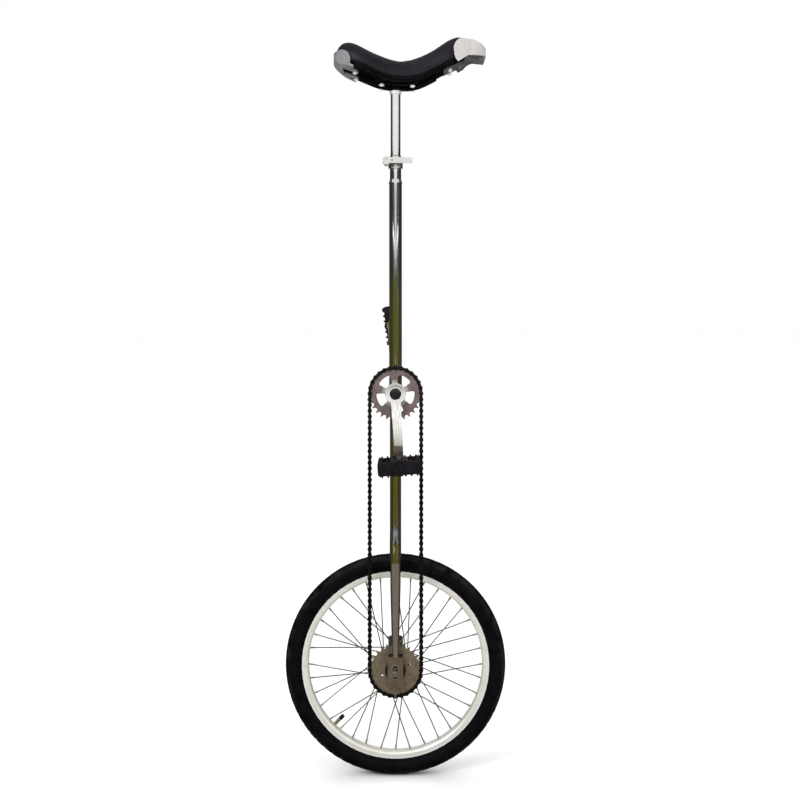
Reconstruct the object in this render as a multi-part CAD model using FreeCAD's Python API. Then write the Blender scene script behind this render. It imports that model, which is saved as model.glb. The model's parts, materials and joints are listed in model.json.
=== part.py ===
import FreeCAD, Part
import math
import os

# A chain-driven tall unicycle, in millimetres.
# +X is forward, +Z is up, and the rider's right (the chain side) is -Y.
# The origin is on the ground under the wheel axle.

V = FreeCAD.Vector
ORIGIN = V(0, 0, 0)
X_AXIS = V(1, 0, 0)
Y_AXIS = V(0, 1, 0)
Z_AXIS = V(0, 0, 1)
RIGHT = -1
LEFT = 1

# Wheel
TYRE_DIAMETER = 494.0
TYRE_WIDTH = 47.0
BEAD_SEAT_RADIUS = 203.0
RIM_FLANGE_RADIUS = 209.5
RIM_INNER_RADIUS = 194.8
RIM_WIDTH = 26.0
RIM_WALL = 1.5
SPOKE_COUNT = 36
SPOKE_RADIUS = 1.2
SPOKE_CROSS_ANGLE = 60.0
HUB_FLANGE_Y = 30.0
FLANGE_THICKNESS = 3.0
HUB_HOLE_RADIUS = 27.0
HUB_FLANGE_RADIUS = 32.0
SPROCKET_BOSS_RADIUS = 17.0
VALVE_ANGLE = 225.0
VALVE_HOLE_RADIUS = 4.25
WHEEL_Z = TYRE_DIAMETER / 2

# Chain drive: two equal sprockets, their centres a whole number of pitches apart
CHAIN_PITCH = 12.7
TEETH = 28
RUN_PITCHES = 48
CHAIN_Y = -47.0
SPROCKET_THICKNESS = 3.0
ROLLER_RADIUS = 3.875
PLATE_RADIUS = 4.9
INNER_PLATE_Y = 1.7
OUTER_PLATE_Y = 2.75
PITCH_RADIUS = CHAIN_PITCH / (2 * math.sin(math.pi / TEETH))
TOOTH_STEP = 360.0 / TEETH
CRANK_Z = WHEEL_Z + RUN_PITCHES * CHAIN_PITCH

# Frame
UPPER_TUBE_RADIUS = 14.3
LOWER_TUBE_RADIUS = 12.7
TUBE_WALL = 1.6
UPPER_TUBE_TOP = 1324.0
SLEEVE_RADIUS = 12.7
SLEEVE_BOTTOM = 1200.0
SLEEVE_TOP = 1389.0
SHELL_RADIUS = 20.0
SHELL_HALF_WIDTH = 34.0
LEG_Y = 59.0
LEG_TOP_RADIUS = 12.7
LEG_BOTTOM_RADIUS = 7.5
ARCH_CENTRE_Z = 486.0
LEG_BOTTOM_Z = WHEEL_Z + 33.0
HOLDER_INNER_Y = 56.0
HOLDER_THICKNESS = 6.0
HOLDER_OUTER_Y = HOLDER_INNER_Y + HOLDER_THICKNESS
HOLDER_TOP = WHEEL_Z + 44.0
HOLDER_BOTTOM = WHEEL_Z - 34.0
HOLDER_BOLTS = [(-11.5, WHEEL_Z + 38.0), (11.5, WHEEL_Z + 38.0)]
HOLDER_BOLT_RADIUS = 2.5

# Axle
AXLE_RADIUS = 5.0
AXLE_END_Y = 83.0
AXLE_END_RADIUS = 4.8
EYE_THICKNESS = 2.5
WASHER_THICKNESS = 1.5
AXLE_NUT_HEIGHT = 9.0
EYE_OUTER_Y = HOLDER_OUTER_Y + EYE_THICKNESS
ADJUSTER_Y = EYE_OUTER_Y + 0.25
ADJUSTER_ROD_RADIUS = 2.5
ADJUSTER_CAP_HEIGHT = 4.0
SLOT_RUN = 8.5
WASHER_OUTER_Y = EYE_OUTER_Y + WASHER_THICKNESS
NUT_OUTER_Y = WASHER_OUTER_Y + AXLE_NUT_HEIGHT

# Cranks and pedals
CRANK_LENGTH = 150.0
CRANK_LEAN = 3.4
CRANK_INNER_Y = 56.0
CRANK_OUTER_Y = 68.0
SQUARE_HALF = 6.35
SQUARE_FROM_Y = 41.0
SQUARE_TO_Y = 60.0
CHAINRING_BORE = 14.0
CRANK_BOLT_RADIUS = 4.0
PEDAL_THREAD_RADIUS = 7.1
RIGHT_PEDAL_TILT = 4.0
LEFT_PEDAL_TILT = 98.0
PEDAL_LENGTH = 92.0
PEDAL_THICKNESS = 28.0
PEDAL_INNER_Y = 78.0
PEDAL_OUTER_Y = 163.0
PEDAL_FRAME = 9.0
PEDAL_BARREL_RADIUS = 17.0
PEDAL_CAP_Y = 155.0

# Seat clamp and post
POST_RADIUS = 11.1
POST_BOTTOM = 1150.0
CLAMP_BOTTOM = 1359.0
CLAMP_TOP = 1383.0
LEVER_PIN_X = -20.0
LEVER_PIN_Y = -24.0
LEVER_Z = 1373.5
EAR_RADIUS = 6.5
EAR_Y = 9.0
EAR_SPLIT = 1.25
SKEWER_RADIUS = 2.5
CAM_PIN_RADIUS = 2.0

# Saddle: stations along its length, each with its half width, underside and crown
SADDLE_STATIONS = [
    (-132.0, 26.0, 1598.0, 1622.0),
    (-122.0, 48.0, 1592.0, 1634.0),
    (-100.0, 66.0, 1583.0, 1638.0),
    (-66.0, 73.0, 1570.0, 1622.0),
    (-30.0, 62.0, 1555.0, 1607.0),
    (8.0, 50.0, 1550.0, 1598.0),
    (48.0, 44.0, 1554.0, 1606.0),
    (90.0, 42.0, 1573.0, 1627.0),
    (126.0, 40.0, 1591.0, 1650.0),
    (146.0, 34.0, 1600.0, 1654.0),
    (157.0, 22.0, 1606.0, 1648.0),
]
COVER_THICKNESS = 2.0
BASE_THICKNESS = 5.0
BASE_GAP = 0.6
BASE_MARGIN = 7.0
PLATE_DROP = BASE_GAP + BASE_THICKNESS + 0.1
BRACKET_THICKNESS = 3.5
COLLAR_BOTTOM = 1526.0
POST_TOP = 1535.5
STUD_RADIUS = 2.6
SCREW_HOLE_RADIUS = 2.7
BRACKET_BOLTS = [(-31.0, -20.0), (-31.0, 20.0), (38.0, -20.0), (38.0, 20.0)]
FRONT_SCREWS = [(122.0, -17.0), (122.0, 17.0)]
REAR_SCREWS = [(-90.0, -30.0), (-90.0, 30.0)]
BUMPER_WALL = 3.2
BUMPER_GAP = 1.4

# The heights and the half width that reach past the whole saddle
BELOW_SADDLE = 1500.0
ABOVE_SADDLE = 1700.0
BESIDE_SADDLE = 100.0


# ---------------------------------------------------------------- helpers

def export(node, *solids):
    """Write the solids of one node to its STEP file."""
    shape = solids[0] if len(solids) == 1 else Part.makeCompound(list(solids))
    shape.exportStep(os.path.join("parts", node + ".step"))


def cylinder_y(radius, y_from, y_to, x=0.0, z=0.0):
    """A cylinder along Y between two values of y, in either order."""
    low = min(y_from, y_to)
    return Part.makeCylinder(radius, abs(y_to - y_from), V(x, low, z), Y_AXIS)


def cylinder_z(radius, z_from, z_to, x=0.0, y=0.0):
    """A vertical cylinder."""
    return Part.makeCylinder(radius, z_to - z_from, V(x, y, z_from), Z_AXIS)


def ring_y(outer, inner, y_from, y_to, x=0.0, z=0.0):
    """A plain ring along Y."""
    return cylinder_y(outer, y_from, y_to, x, z).cut(cylinder_y(inner, y_from, y_to, x, z))


def tube_z(outer, inner, z_from, z_to):
    """A vertical tube on the frame's centreline."""
    return cylinder_z(outer, z_from, z_to).cut(cylinder_z(inner, z_from, z_to))


def block(x_from, x_to, y_from, y_to, z_from, z_to):
    """A box between two corners, with y in either order."""
    low = min(y_from, y_to)
    return Part.makeBox(x_to - x_from, abs(y_to - y_from), z_to - z_from, V(x_from, low, z_from))


def polar(radius, degrees, y=0.0, z=0.0):
    """A point at an angle from +X towards +Z, around an axis along Y."""
    angle = math.radians(degrees)
    return V(radius * math.cos(angle), y, z + radius * math.sin(angle))


def turned(shape, degrees, z=0.0, x=0.0):
    """A copy turned from +X towards +Z about an axis along Y."""
    copy = shape.copy()
    copy.rotate(V(x, 0, z), Y_AXIS, -degrees)
    return copy


def mirrored(shape):
    """A copy on the other side of the wheel's plane."""
    return shape.mirror(ORIGIN, Y_AXIS)


def polygon_face(points):
    """A flat face inside a closed run of straight edges."""
    return Part.Face(Part.makePolygon(list(points) + [points[0]]))


def edges_face(edges):
    """A flat face inside edges that follow each other."""
    return Part.Face(Part.Wire(edges))


def line(start, end):
    return Part.LineSegment(start, end).toShape()


def arc(start, middle, end):
    return Part.Arc(start, middle, end).toShape()


def hexagon_y(across_flats, y_from, y_to, x=0.0, z=0.0):
    """A hexagonal prism along Y."""
    corner = across_flats / math.sqrt(3)
    points = [polar(corner, 60 * k, min(y_from, y_to), z) + V(x, 0, 0) for k in range(6)]
    return polygon_face(points).extrude(V(0, abs(y_to - y_from), 0))


def hexagon_z(across_flats, z_from, z_to, x=0.0, y=0.0):
    """A hexagonal prism along Z."""
    prism = hexagon_y(across_flats, 0, z_to - z_from)
    prism.rotate(ORIGIN, X_AXIS, 90)
    prism.translate(V(x, y, z_from))
    return prism


def fused(first, *others):
    """One solid made of several that touch or overlap."""
    return first.fuse(list(others)).removeSplitter()


def balls(count, ring_radius, ball_radius, y, z):
    """A ring of bearing balls around an axis along Y."""
    step = 360.0 / count
    return [Part.makeSphere(ball_radius, polar(ring_radius, step * k, y, z)) for k in range(count)]


# ---------------------------------------------------------------- wheel

def revolved_ring(edges):
    """Turn a flat outline, drawn with radius along Z, once round the wheel's axis."""
    ring = edges_face(edges).revolve(ORIGIN, Y_AXIS, 360)
    ring.translate(V(0, 0, WHEEL_Z))
    return ring


def at(y, radius):
    """A point of a wheel section."""
    return V(0, y, radius)


def tyre():
    """A casing open between its beads, with a rounded tread."""
    crown = TYRE_DIAMETER / 2
    half = TYRE_WIDTH / 2
    seat = BEAD_SEAT_RADIUS
    lip = RIM_FLANGE_RADIUS + 0.6
    bead = RIM_WIDTH / 2 - 1.7
    sidewall = 2.4
    tread = 4.5
    shoulder = at(half - 8.5, crown - 5.0)
    widest = at(half, crown - 21.0)
    inner_widest = at(half - sidewall, crown - 21.5)
    inner_shoulder = at(half - 9.5, crown - 9.0)

    def flip(point):
        return V(0, -point.y, point.z)

    edges = [
        arc(flip(shoulder), at(0, crown), shoulder),
        arc(shoulder, widest, at(bead, lip)),
        line(at(bead, lip), at(bead, seat)),
        line(at(bead, seat), at(bead - 3.4, seat)),
        line(at(bead - 3.4, seat), at(bead - 3.4, lip - 2.0)),
        arc(at(bead - 3.4, lip - 2.0), inner_widest, inner_shoulder),
        arc(inner_shoulder, at(0, crown - tread), flip(inner_shoulder)),
        arc(flip(inner_shoulder), flip(inner_widest), at(3.4 - bead, lip - 2.0)),
        line(at(3.4 - bead, lip - 2.0), at(3.4 - bead, seat)),
        line(at(3.4 - bead, seat), at(-bead, seat)),
        line(at(-bead, seat), at(-bead, lip)),
        arc(at(-bead, lip), flip(widest), flip(shoulder)),
    ]
    return revolved_ring(edges)


def inner_tube():
    """A thin-walled air tube that lies inside the casing."""
    centre = 224.5
    outer_radius = 16.6
    skin = 1.0
    outer = Part.makeTorus(centre, outer_radius, V(0, 0, WHEEL_Z), Y_AXIS)
    air = Part.makeTorus(centre, outer_radius - skin, V(0, 0, WHEEL_Z), Y_AXIS)
    return outer.cut(air)


def rim_section():
    """The outline of the rim: spoke bed, side walls, flanges, bead seats and well."""
    half = RIM_WIDTH / 2
    inner = RIM_INNER_RADIUS
    top = RIM_FLANGE_RADIUS
    seat = BEAD_SEAT_RADIUS
    well = seat - RIM_WALL
    right_side = [
        at(0, inner), at(7.0, inner), at(half - 2.0, inner + 1.6), at(half, inner + 5.0),
        at(half, top), at(half - 1.6, top), at(half - 1.6, seat), at(8.0, seat),
        at(7.0, well), at(0, well),
    ]
    left_side = [V(0, -p.y, p.z) for p in reversed(right_side[1:-1])]
    return right_side + left_side


def rim_cavity_section():
    """The closed space inside the rim, between the spoke bed and the well."""
    floor = RIM_INNER_RADIUS + RIM_WALL
    roof = BEAD_SEAT_RADIUS - 2 * RIM_WALL
    half = RIM_WIDTH / 2 - 2.0
    return [
        at(-6.5, floor), at(6.5, floor), at(half, floor + 2.2), at(half, roof),
        at(-half, roof), at(-half, floor + 2.2),
    ]


def closed_outline(points):
    """Straight edges round a closed run of points."""
    return [line(a, b) for a, b in zip(points, points[1:] + points[:1])]


def flange_offset(leading):
    """How far a spoke's bend lies from the middle of its flange."""
    beside_face = FLANGE_THICKNESS / 2 + SPOKE_RADIUS + 0.1
    return beside_face + 1.7 if leading else beside_face


def spoke_ends(side, leading, step):
    """The hub end and the rim end of one spoke.

    Leading spokes start outside the flange, far enough out to pass its edge."""
    step_angle = 2 * 360.0 / SPOKE_COUNT
    first_rim_angle = 0.0 if side == RIGHT else step_angle / 2
    rim_angle = first_rim_angle + 2 * step_angle * step
    if not leading:
        rim_angle += step_angle
    hub_angle = rim_angle - SPOKE_CROSS_ANGLE if leading else rim_angle + SPOKE_CROSS_ANGLE
    hub_y = side * (HUB_FLANGE_Y + flange_offset(leading) * (1 if leading else -1))
    hub = polar(HUB_HOLE_RADIUS, hub_angle, hub_y, WHEEL_Z)
    rim = polar(RIM_INNER_RADIUS + RIM_WALL, rim_angle, side * 3.0, WHEEL_Z)
    return hub, rim


def spoke(side, leading, step):
    """One spoke: the long wire, its elbow through the flange and its head."""
    hub, rim = spoke_ends(side, leading, step)
    wire = Part.makeCylinder(SPOKE_RADIUS, hub.distanceToPoint(rim), hub, rim - hub)
    outward = side if leading else -side
    elbow_length = flange_offset(leading) + FLANGE_THICKNESS
    elbow = Part.makeCylinder(SPOKE_RADIUS, elbow_length, hub, V(0, -outward, 0))
    knuckle = Part.makeSphere(SPOKE_RADIUS, hub)
    head_start = hub + V(0, -outward * (elbow_length - 0.6), 0)
    head = Part.makeCylinder(2 * SPOKE_RADIUS, 1.2, head_start, V(0, -outward, 0))
    return wire.fuse([elbow, knuckle, head])


def nipple(side, leading, step):
    """The threaded sleeve that pulls one spoke to the rim."""
    hub, rim = spoke_ends(side, leading, step)
    along = (rim - hub).normalize()
    start = rim - along * 11.0
    body = Part.makeCylinder(1.9, 12.2, start, along)
    head = Part.makeCylinder(2.7, 1.8, rim + along * 0.9, along)
    bore = Part.makeCylinder(SPOKE_RADIUS + 0.05, 11.1, start, along)
    return body.fuse(head).cut(bore)


def nipple_hole(side, leading, step):
    """The hole in the spoke bed for one nipple."""
    hub, rim = spoke_ends(side, leading, step)
    along = (rim - hub).normalize()
    return Part.makeCylinder(2.2, 5.0, rim - along * 3.0, along)


def each_spoke():
    """The side, direction and place of every spoke."""
    per_set = SPOKE_COUNT // 4
    for side in (RIGHT, LEFT):
        for leading in (True, False):
            for step in range(per_set):
                yield side, leading, step


def valve_frame(shape):
    """Place a shape drawn straight up from the axis at the valve's angle on the wheel."""
    placed = shape.copy()
    placed.rotate(ORIGIN, Y_AXIS, 90 - VALVE_ANGLE)
    placed.translate(V(0, 0, WHEEL_Z))
    return placed


def valve_hole():
    """The round hole for the valve through the rim and its tape."""
    return valve_frame(cylinder_z(VALVE_HOLE_RADIUS, RIM_INNER_RADIUS - 5, BEAD_SEAT_RADIUS + 3))


def rim():
    """The hollow rim, with a hole for every nipple and one for the valve."""
    section = revolved_ring(closed_outline(rim_section()))
    cavity = revolved_ring(closed_outline(rim_cavity_section()))
    holes = [nipple_hole(*place) for place in each_spoke()]
    return section.cut([cavity, valve_hole()] + holes)


def rim_tape():
    """A strip round the rim's well, between the nipples and the air tube."""
    half = 6.8
    inner = BEAD_SEAT_RADIUS - RIM_WALL
    outer = inner + 0.6
    outline = [at(-half, inner), at(half, inner), at(half, outer), at(-half, outer)]
    tape = revolved_ring(closed_outline(outline))
    return tape.cut(valve_hole())


def valve_stem():
    """The stem, from the tube through the rim, with a bore for the core."""
    tip = 168.0
    shoulder = 176.0
    stem = cylinder_z(4.0, shoulder, 205.8).fuse(cylinder_z(3.0, tip, shoulder))
    return valve_frame(stem.cut(cylinder_z(1.5, tip, 204.0)))


def valve_cap():
    """The plastic cap over the stem's narrow end."""
    low = 165.5
    high = 175.8
    cap = cylinder_z(4.4, low, high)
    cap = cap.makeChamfer(1.0, [cap.Edges[2]])
    return valve_frame(cap.cut(cylinder_z(3.05, low + 2.4, high)))


def hub_shell():
    """A turned shell with a drilled flange at each end and a boss for the sprocket."""
    core_radius = 16.0
    left_end = 36.0
    right_end = -51.5
    bore_radius = 9.0
    race_radius = 13.0
    race_inner_y = 20.0
    past_ends = 60.0
    parts = [
        cylinder_y(core_radius, -HUB_FLANGE_Y, HUB_FLANGE_Y, 0, WHEEL_Z),
        cylinder_y(core_radius + 2.0, HUB_FLANGE_Y, left_end, 0, WHEEL_Z),
        cylinder_y(SPROCKET_BOSS_RADIUS, right_end, -HUB_FLANGE_Y, 0, WHEEL_Z),
    ]
    cuts = [cylinder_y(bore_radius, -past_ends, past_ends, 0, WHEEL_Z)]
    for side in (RIGHT, LEFT):
        inner_face = side * (HUB_FLANGE_Y - FLANGE_THICKNESS / 2)
        outer_face = side * (HUB_FLANGE_Y + FLANGE_THICKNESS / 2)
        parts.append(cylinder_y(HUB_FLANGE_RADIUS, inner_face, outer_face, 0, WHEEL_Z))
        cuts.append(cylinder_y(race_radius, side * race_inner_y, side * past_ends, 0, WHEEL_Z))
    for side, leading, step in each_spoke():
        hub = spoke_ends(side, leading, step)[0]
        flange = side * HUB_FLANGE_Y
        cuts.append(cylinder_y(SPOKE_RADIUS + 0.15, flange - 2, flange + 2, hub.x, hub.z))
    return fused(*parts).cut(cuts)


def hub_sprocket():
    """The driven sprocket, a plain disc with two small holes through it."""
    low_y = CHAIN_Y - SPROCKET_THICKNESS
    high_y = CHAIN_Y + SPROCKET_THICKNESS
    cuts = [cylinder_y(SPROCKET_BOSS_RADIUS, low_y, high_y, 0, WHEEL_Z)]
    for angle in (23.0, 203.0):
        centre = polar(32.0, angle, 0, WHEEL_Z)
        cuts.append(cylinder_y(3.0, low_y, high_y, centre.x, centre.z))
    return toothed_disc(WHEEL_Z).cut(cuts)


def hub_lockring():
    """The ring that locks the sprocket on its boss, with two holes for a pin spanner."""
    outer_face = CHAIN_Y - SPROCKET_THICKNESS / 2
    ring = ring_y(23.0, SPROCKET_BOSS_RADIUS, outer_face - 2.8, outer_face, 0, WHEEL_Z)
    for angle in (0.0, 180.0):
        centre = polar(20.0, angle, 0, WHEEL_Z)
        ring = ring.cut(cylinder_y(1.7, outer_face - 3, outer_face, centre.x, centre.z))
    return ring


def toothed_disc(z):
    """A sprocket disc whose tooth spaces fit the rollers."""
    seat = ROLLER_RADIUS + 0.08
    seat_spread = 65.0
    tip_radius = PITCH_RADIUS + 3.5
    half_tip = math.degrees(0.75 / tip_radius)
    low_y = CHAIN_Y - SPROCKET_THICKNESS / 2
    edges = []
    for k in range(TEETH):
        angle = k * TOOTH_STEP
        next_angle = angle + TOOTH_STEP
        inward = angle + 180
        centre = polar(PITCH_RADIUS, angle, low_y)
        start = centre + polar(seat, inward + seat_spread)
        end = centre + polar(seat, inward - seat_spread)
        tip_start = polar(tip_radius, angle + TOOTH_STEP / 2 - half_tip, low_y)
        tip_end = polar(tip_radius, angle + TOOTH_STEP / 2 + half_tip, low_y)
        next_centre = polar(PITCH_RADIUS, next_angle, low_y)
        next_start = next_centre + polar(seat, next_angle + 180 + seat_spread)
        edges.append(arc(start, centre + polar(seat, inward), end))
        edges += [line(end, tip_start), line(tip_start, tip_end), line(tip_end, next_start)]
    disc = edges_face(edges).extrude(V(0, SPROCKET_THICKNESS, 0))
    disc.translate(V(0, 0, z))
    return disc


def wheel():
    """Write every piece of the wheel."""
    export("tyre", tyre())
    export("inner_tube", inner_tube())
    export("rim_tape", rim_tape())
    export("rim", rim())
    export("spokes", *[spoke(*place) for place in each_spoke()])
    export("nipples", *[nipple(*place) for place in each_spoke()])
    export("valve_stem", valve_stem())
    export("valve_cap", valve_cap())
    export("hub_shell", hub_shell())
    export("hub_sprocket", hub_sprocket())
    export("hub_lockring", hub_lockring())


# ---------------------------------------------------------------- chain

def chain_pins():
    """The pin centres once round the loop, as points in the chain's plane."""
    half_turn = TEETH // 2
    over_top = [polar(PITCH_RADIUS, k * TOOTH_STEP, 0, CRANK_Z) for k in range(half_turn + 1)]
    under = [polar(PITCH_RADIUS, 180 + k * TOOTH_STEP, 0, WHEEL_Z) for k in range(half_turn + 1)]
    down = [V(-PITCH_RADIUS, 0, CRANK_Z - k * CHAIN_PITCH) for k in range(1, RUN_PITCHES)]
    up = [V(PITCH_RADIUS, 0, WHEEL_Z + k * CHAIN_PITCH) for k in range(1, RUN_PITCHES)]
    return over_top + down + under + up


def link_plate(inner_y, thickness):
    """One waisted plate between pins at the origin and one pitch along +X."""
    radius = PLATE_RADIUS
    waist = radius * 0.62
    neck = radius * 0.8
    slope = math.sqrt(radius ** 2 - neck ** 2)

    def p(x, z):
        return V(x, inner_y, z)

    edges = [
        arc(p(slope, -neck), p(-radius, 0), p(slope, neck)),
        arc(p(slope, neck), p(CHAIN_PITCH / 2, waist), p(CHAIN_PITCH - slope, neck)),
        arc(p(CHAIN_PITCH - slope, neck), p(CHAIN_PITCH + radius, 0), p(CHAIN_PITCH - slope, -neck)),
        arc(p(CHAIN_PITCH - slope, -neck), p(CHAIN_PITCH / 2, -waist), p(slope, -neck)),
    ]
    return edges_face(edges).extrude(V(0, thickness, 0))


def outer_link():
    """Two outer plates on two pins."""
    thickness = 1.0
    pin_end = OUTER_PLATE_Y + thickness + 0.65
    plates = [link_plate(OUTER_PLATE_Y, thickness), link_plate(-OUTER_PLATE_Y - thickness, thickness)]
    pins = [cylinder_y(1.8, -pin_end, pin_end, x) for x in (0.0, CHAIN_PITCH)]
    return fused(*(plates + pins))


def inner_link():
    """Two inner plates on two bushings, bored for the pins."""
    thickness = 1.0
    end = INNER_PLATE_Y + thickness
    plates = [link_plate(INNER_PLATE_Y, thickness), link_plate(-end, thickness)]
    bushings = [cylinder_y(2.5, -end, end, x) for x in (0.0, CHAIN_PITCH)]
    bores = [cylinder_y(1.86, -end, end, x) for x in (0.0, CHAIN_PITCH)]
    return fused(*(plates + bushings)).cut(bores)


def placed_link(link, start, end):
    """A copy of a link from one pin to the next."""
    copy = link.copy()
    angle = math.degrees(math.atan2(end.z - start.z, end.x - start.x))
    copy.rotate(ORIGIN, Y_AXIS, -angle)
    copy.translate(V(start.x, CHAIN_Y, start.z))
    return copy


def chain():
    """The closed loop: outer links, inner links and a roller on every pin."""
    pins = chain_pins()
    following = pins[1:] + pins[:1]
    links = {"chain_outer_links": (outer_link(), 0), "chain_inner_links": (inner_link(), 1)}
    for node, (link, first) in links.items():
        pairs = list(zip(pins, following))[first::2]
        export(node, *[placed_link(link, start, end) for start, end in pairs])
    half_roller = INNER_PLATE_Y - 0.1
    roller = ring_y(ROLLER_RADIUS, 2.56, -half_roller, half_roller)
    rollers = [roller.translated(V(p.x, CHAIN_Y, p.z)) for p in pins]
    export("chain_rollers", *rollers)


# ---------------------------------------------------------------- frame

def bottom_bracket():
    """The shell across the frame, its two threaded cups and their balls."""
    y_end = SHELL_HALF_WIDTH
    thread_radius = 17.0
    cup_inner_y = 20.0
    shell = ring_y(SHELL_RADIUS, thread_radius, -y_end, y_end, 0, CRANK_Z)
    export("bottom_bracket_shell", shell)
    cups = []
    for side in (RIGHT, LEFT):
        thread = cylinder_y(thread_radius, side * cup_inner_y, side * (y_end + 2), 0, CRANK_Z)
        flange = cylinder_y(thread_radius + 2.5, side * y_end, side * (y_end + 3.5), 0, CRANK_Z)
        race = cylinder_y(14.5, side * (cup_inner_y - 1), side * (cup_inner_y + 10), 0, CRANK_Z)
        bore = cylinder_y(10.5, side * (cup_inner_y - 1), side * (y_end + 6), 0, CRANK_Z)
        cups.append(fused(thread, flange).cut([race, bore]))
    export("bottom_bracket_cups", *cups)
    rings = [ball for side in (RIGHT, LEFT) for ball in balls(11, 11.2, 2.4, side * 26, CRANK_Z)]
    export("bottom_bracket_balls", *rings)


def coped_tube(radius, z_from, z_to):
    """A frame tube with its end shaped to the bottom bracket shell."""
    tube = tube_z(radius, radius - TUBE_WALL, z_from, z_to)
    return tube.cut(cylinder_y(SHELL_RADIUS, -2 * radius, 2 * radius, 0, CRANK_Z))


def top_sleeve():
    """The slotted sleeve that guides the seat post, with a tapered collar on the tube."""
    bore = POST_RADIUS + 0.08
    top = SLEEVE_TOP
    collar = 15.1
    slot_depth = 42.0
    outline = [
        V(bore, 0, SLEEVE_BOTTOM), V(SLEEVE_RADIUS, 0, SLEEVE_BOTTOM),
        V(SLEEVE_RADIUS, 0, UPPER_TUBE_TOP), V(collar, 0, UPPER_TUBE_TOP),
        V(collar, 0, UPPER_TUBE_TOP + 3), V(SLEEVE_RADIUS, 0, UPPER_TUBE_TOP + 11),
        V(SLEEVE_RADIUS, 0, top - 3), V(bore + 0.4, 0, top), V(bore, 0, top),
    ]
    sleeve = polygon_face(outline).revolve(ORIGIN, Z_AXIS, 360)
    slot = block(-2 * SLEEVE_RADIUS, 0, -EAR_SPLIT, EAR_SPLIT, top - slot_depth, top + 1)
    return sleeve.cut(slot)


def leg_path_section(radius, y, z, tilt):
    """A round section of a leg, tilted in the plane across the wheel."""
    angle = math.radians(tilt)
    normal = V(0, math.sin(angle), -math.cos(angle))
    return Part.Wire(Part.Circle(V(0, y, z), normal, radius).toShape())


def fork_leg(side):
    """A leg that leaves the crown as a quarter arch and tapers down to the axle."""
    start = leg_path_section(LEG_TOP_RADIUS, 0, ARCH_CENTRE_Z + LEG_Y, 90)
    end = leg_path_section(LEG_TOP_RADIUS, side * LEG_Y, ARCH_CENTRE_Z, 0)
    quarter = start.revolve(V(0, 0, ARCH_CENTRE_Z), V(-side, 0, 0), 90)
    skin = [Part.Face(start)] + quarter.Faces + [Part.Face(end)]
    arch = Part.makeSolid(Part.makeShell(skin))
    foot = V(0, side * LEG_Y, LEG_BOTTOM_Z)
    length = ARCH_CENTRE_Z - LEG_BOTTOM_Z
    blade = Part.makeCone(LEG_BOTTOM_RADIUS, LEG_TOP_RADIUS, length, foot)
    core = Part.makeCone(LEG_BOTTOM_RADIUS - TUBE_WALL, LEG_TOP_RADIUS - TUBE_WALL, length, foot)
    return fused(arch, blade).cut([core, axle_holder(side)])


def axle_holder(side):
    """A flat plate with round shoulders and a tall slot for the axle."""
    half = 17.0
    top = HOLDER_TOP
    bottom = HOLDER_BOTTOM
    low_y = min(side * HOLDER_INNER_Y, side * HOLDER_OUTER_Y)

    def p(x, z):
        return V(x, low_y, z)

    corner = 6.0
    reach = corner * math.sqrt(0.5)
    edges = [
        line(p(-half, bottom), p(half, bottom)),
        line(p(half, bottom), p(half, top - corner)),
        arc(p(half, top - corner), p(half - corner + reach, top - corner + reach), p(half - corner, top)),
        line(p(half - corner, top), p(corner - half, top)),
        arc(p(corner - half, top), p(corner - half - reach, top - corner + reach), p(-half, top - corner)),
        line(p(-half, top - corner), p(-half, bottom)),
    ]
    plate = edges_face(edges).extrude(V(0, HOLDER_THICKNESS, 0))
    far = low_y + HOLDER_THICKNESS
    slot = upright_slot(AXLE_RADIUS + 0.15, 11.0, low_y, far)
    bolt_holes = [cylinder_y(HOLDER_BOLT_RADIUS, low_y, far, x, z) for x, z in HOLDER_BOLTS]
    return plate.cut([slot] + bolt_holes)


def holder_bolts(side):
    """Two socket-head bolts through the shoulders of one axle holder."""
    bolts = []
    head_y = HOLDER_OUTER_Y + 4.0
    for x, z in HOLDER_BOLTS:
        shank = cylinder_y(HOLDER_BOLT_RADIUS, side * (HOLDER_INNER_Y - 1), side * HOLDER_OUTER_Y, x, z)
        head = cylinder_y(4.2, side * HOLDER_OUTER_Y, side * head_y, x, z)
        socket = hexagon_y(4.0, side * (head_y - 2.2), side * head_y, x, z)
        bolts.append(fused(shank, head).cut(socket))
    return bolts


def upright_slot(half_width, half_run, y_from, y_to):
    """A tall round-ended prism along Y, centred on the axle."""
    ends = [cylinder_y(half_width, y_from, y_to, 0, WHEEL_Z + d) for d in (-half_run, half_run)]
    middle = block(-half_width, half_width, y_from, y_to, WHEEL_Z - half_run, WHEEL_Z + half_run)
    return fused(middle, *ends)


def adjuster_eye(side):
    """An oblong ring on the axle, with a threaded rod down from it."""
    inner_face = side * HOLDER_OUTER_Y
    outer_face = side * EYE_OUTER_Y
    ring_half = 9.2
    window_half = 5.6
    rod_bottom = WHEEL_Z - 52.0
    plate = upright_slot(ring_half, SLOT_RUN, inner_face, outer_face)
    rod = cylinder_z(ADJUSTER_ROD_RADIUS, rod_bottom, WHEEL_Z - 15, 0, side * ADJUSTER_Y)
    holder_space = block(-ring_half, ring_half, side * HOLDER_INNER_Y, inner_face, rod_bottom, WHEEL_Z)
    window = upright_slot(window_half, SLOT_RUN, inner_face, outer_face)
    return fused(plate, rod).cut([holder_space, window])


def adjuster_cap(side):
    """A small foot under the holder that the adjuster's nut pulls against."""
    half_width = 7.0
    outer_y = ADJUSTER_Y + 5.25
    low = HOLDER_BOTTOM - ADJUSTER_CAP_HEIGHT
    foot = block(-half_width, half_width, side * HOLDER_INNER_Y, side * outer_y, low, HOLDER_BOTTOM)
    rod_hole = cylinder_z(ADJUSTER_ROD_RADIUS + 0.1, low, HOLDER_BOTTOM, 0, side * ADJUSTER_Y)
    return foot.cut(rod_hole)


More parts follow.
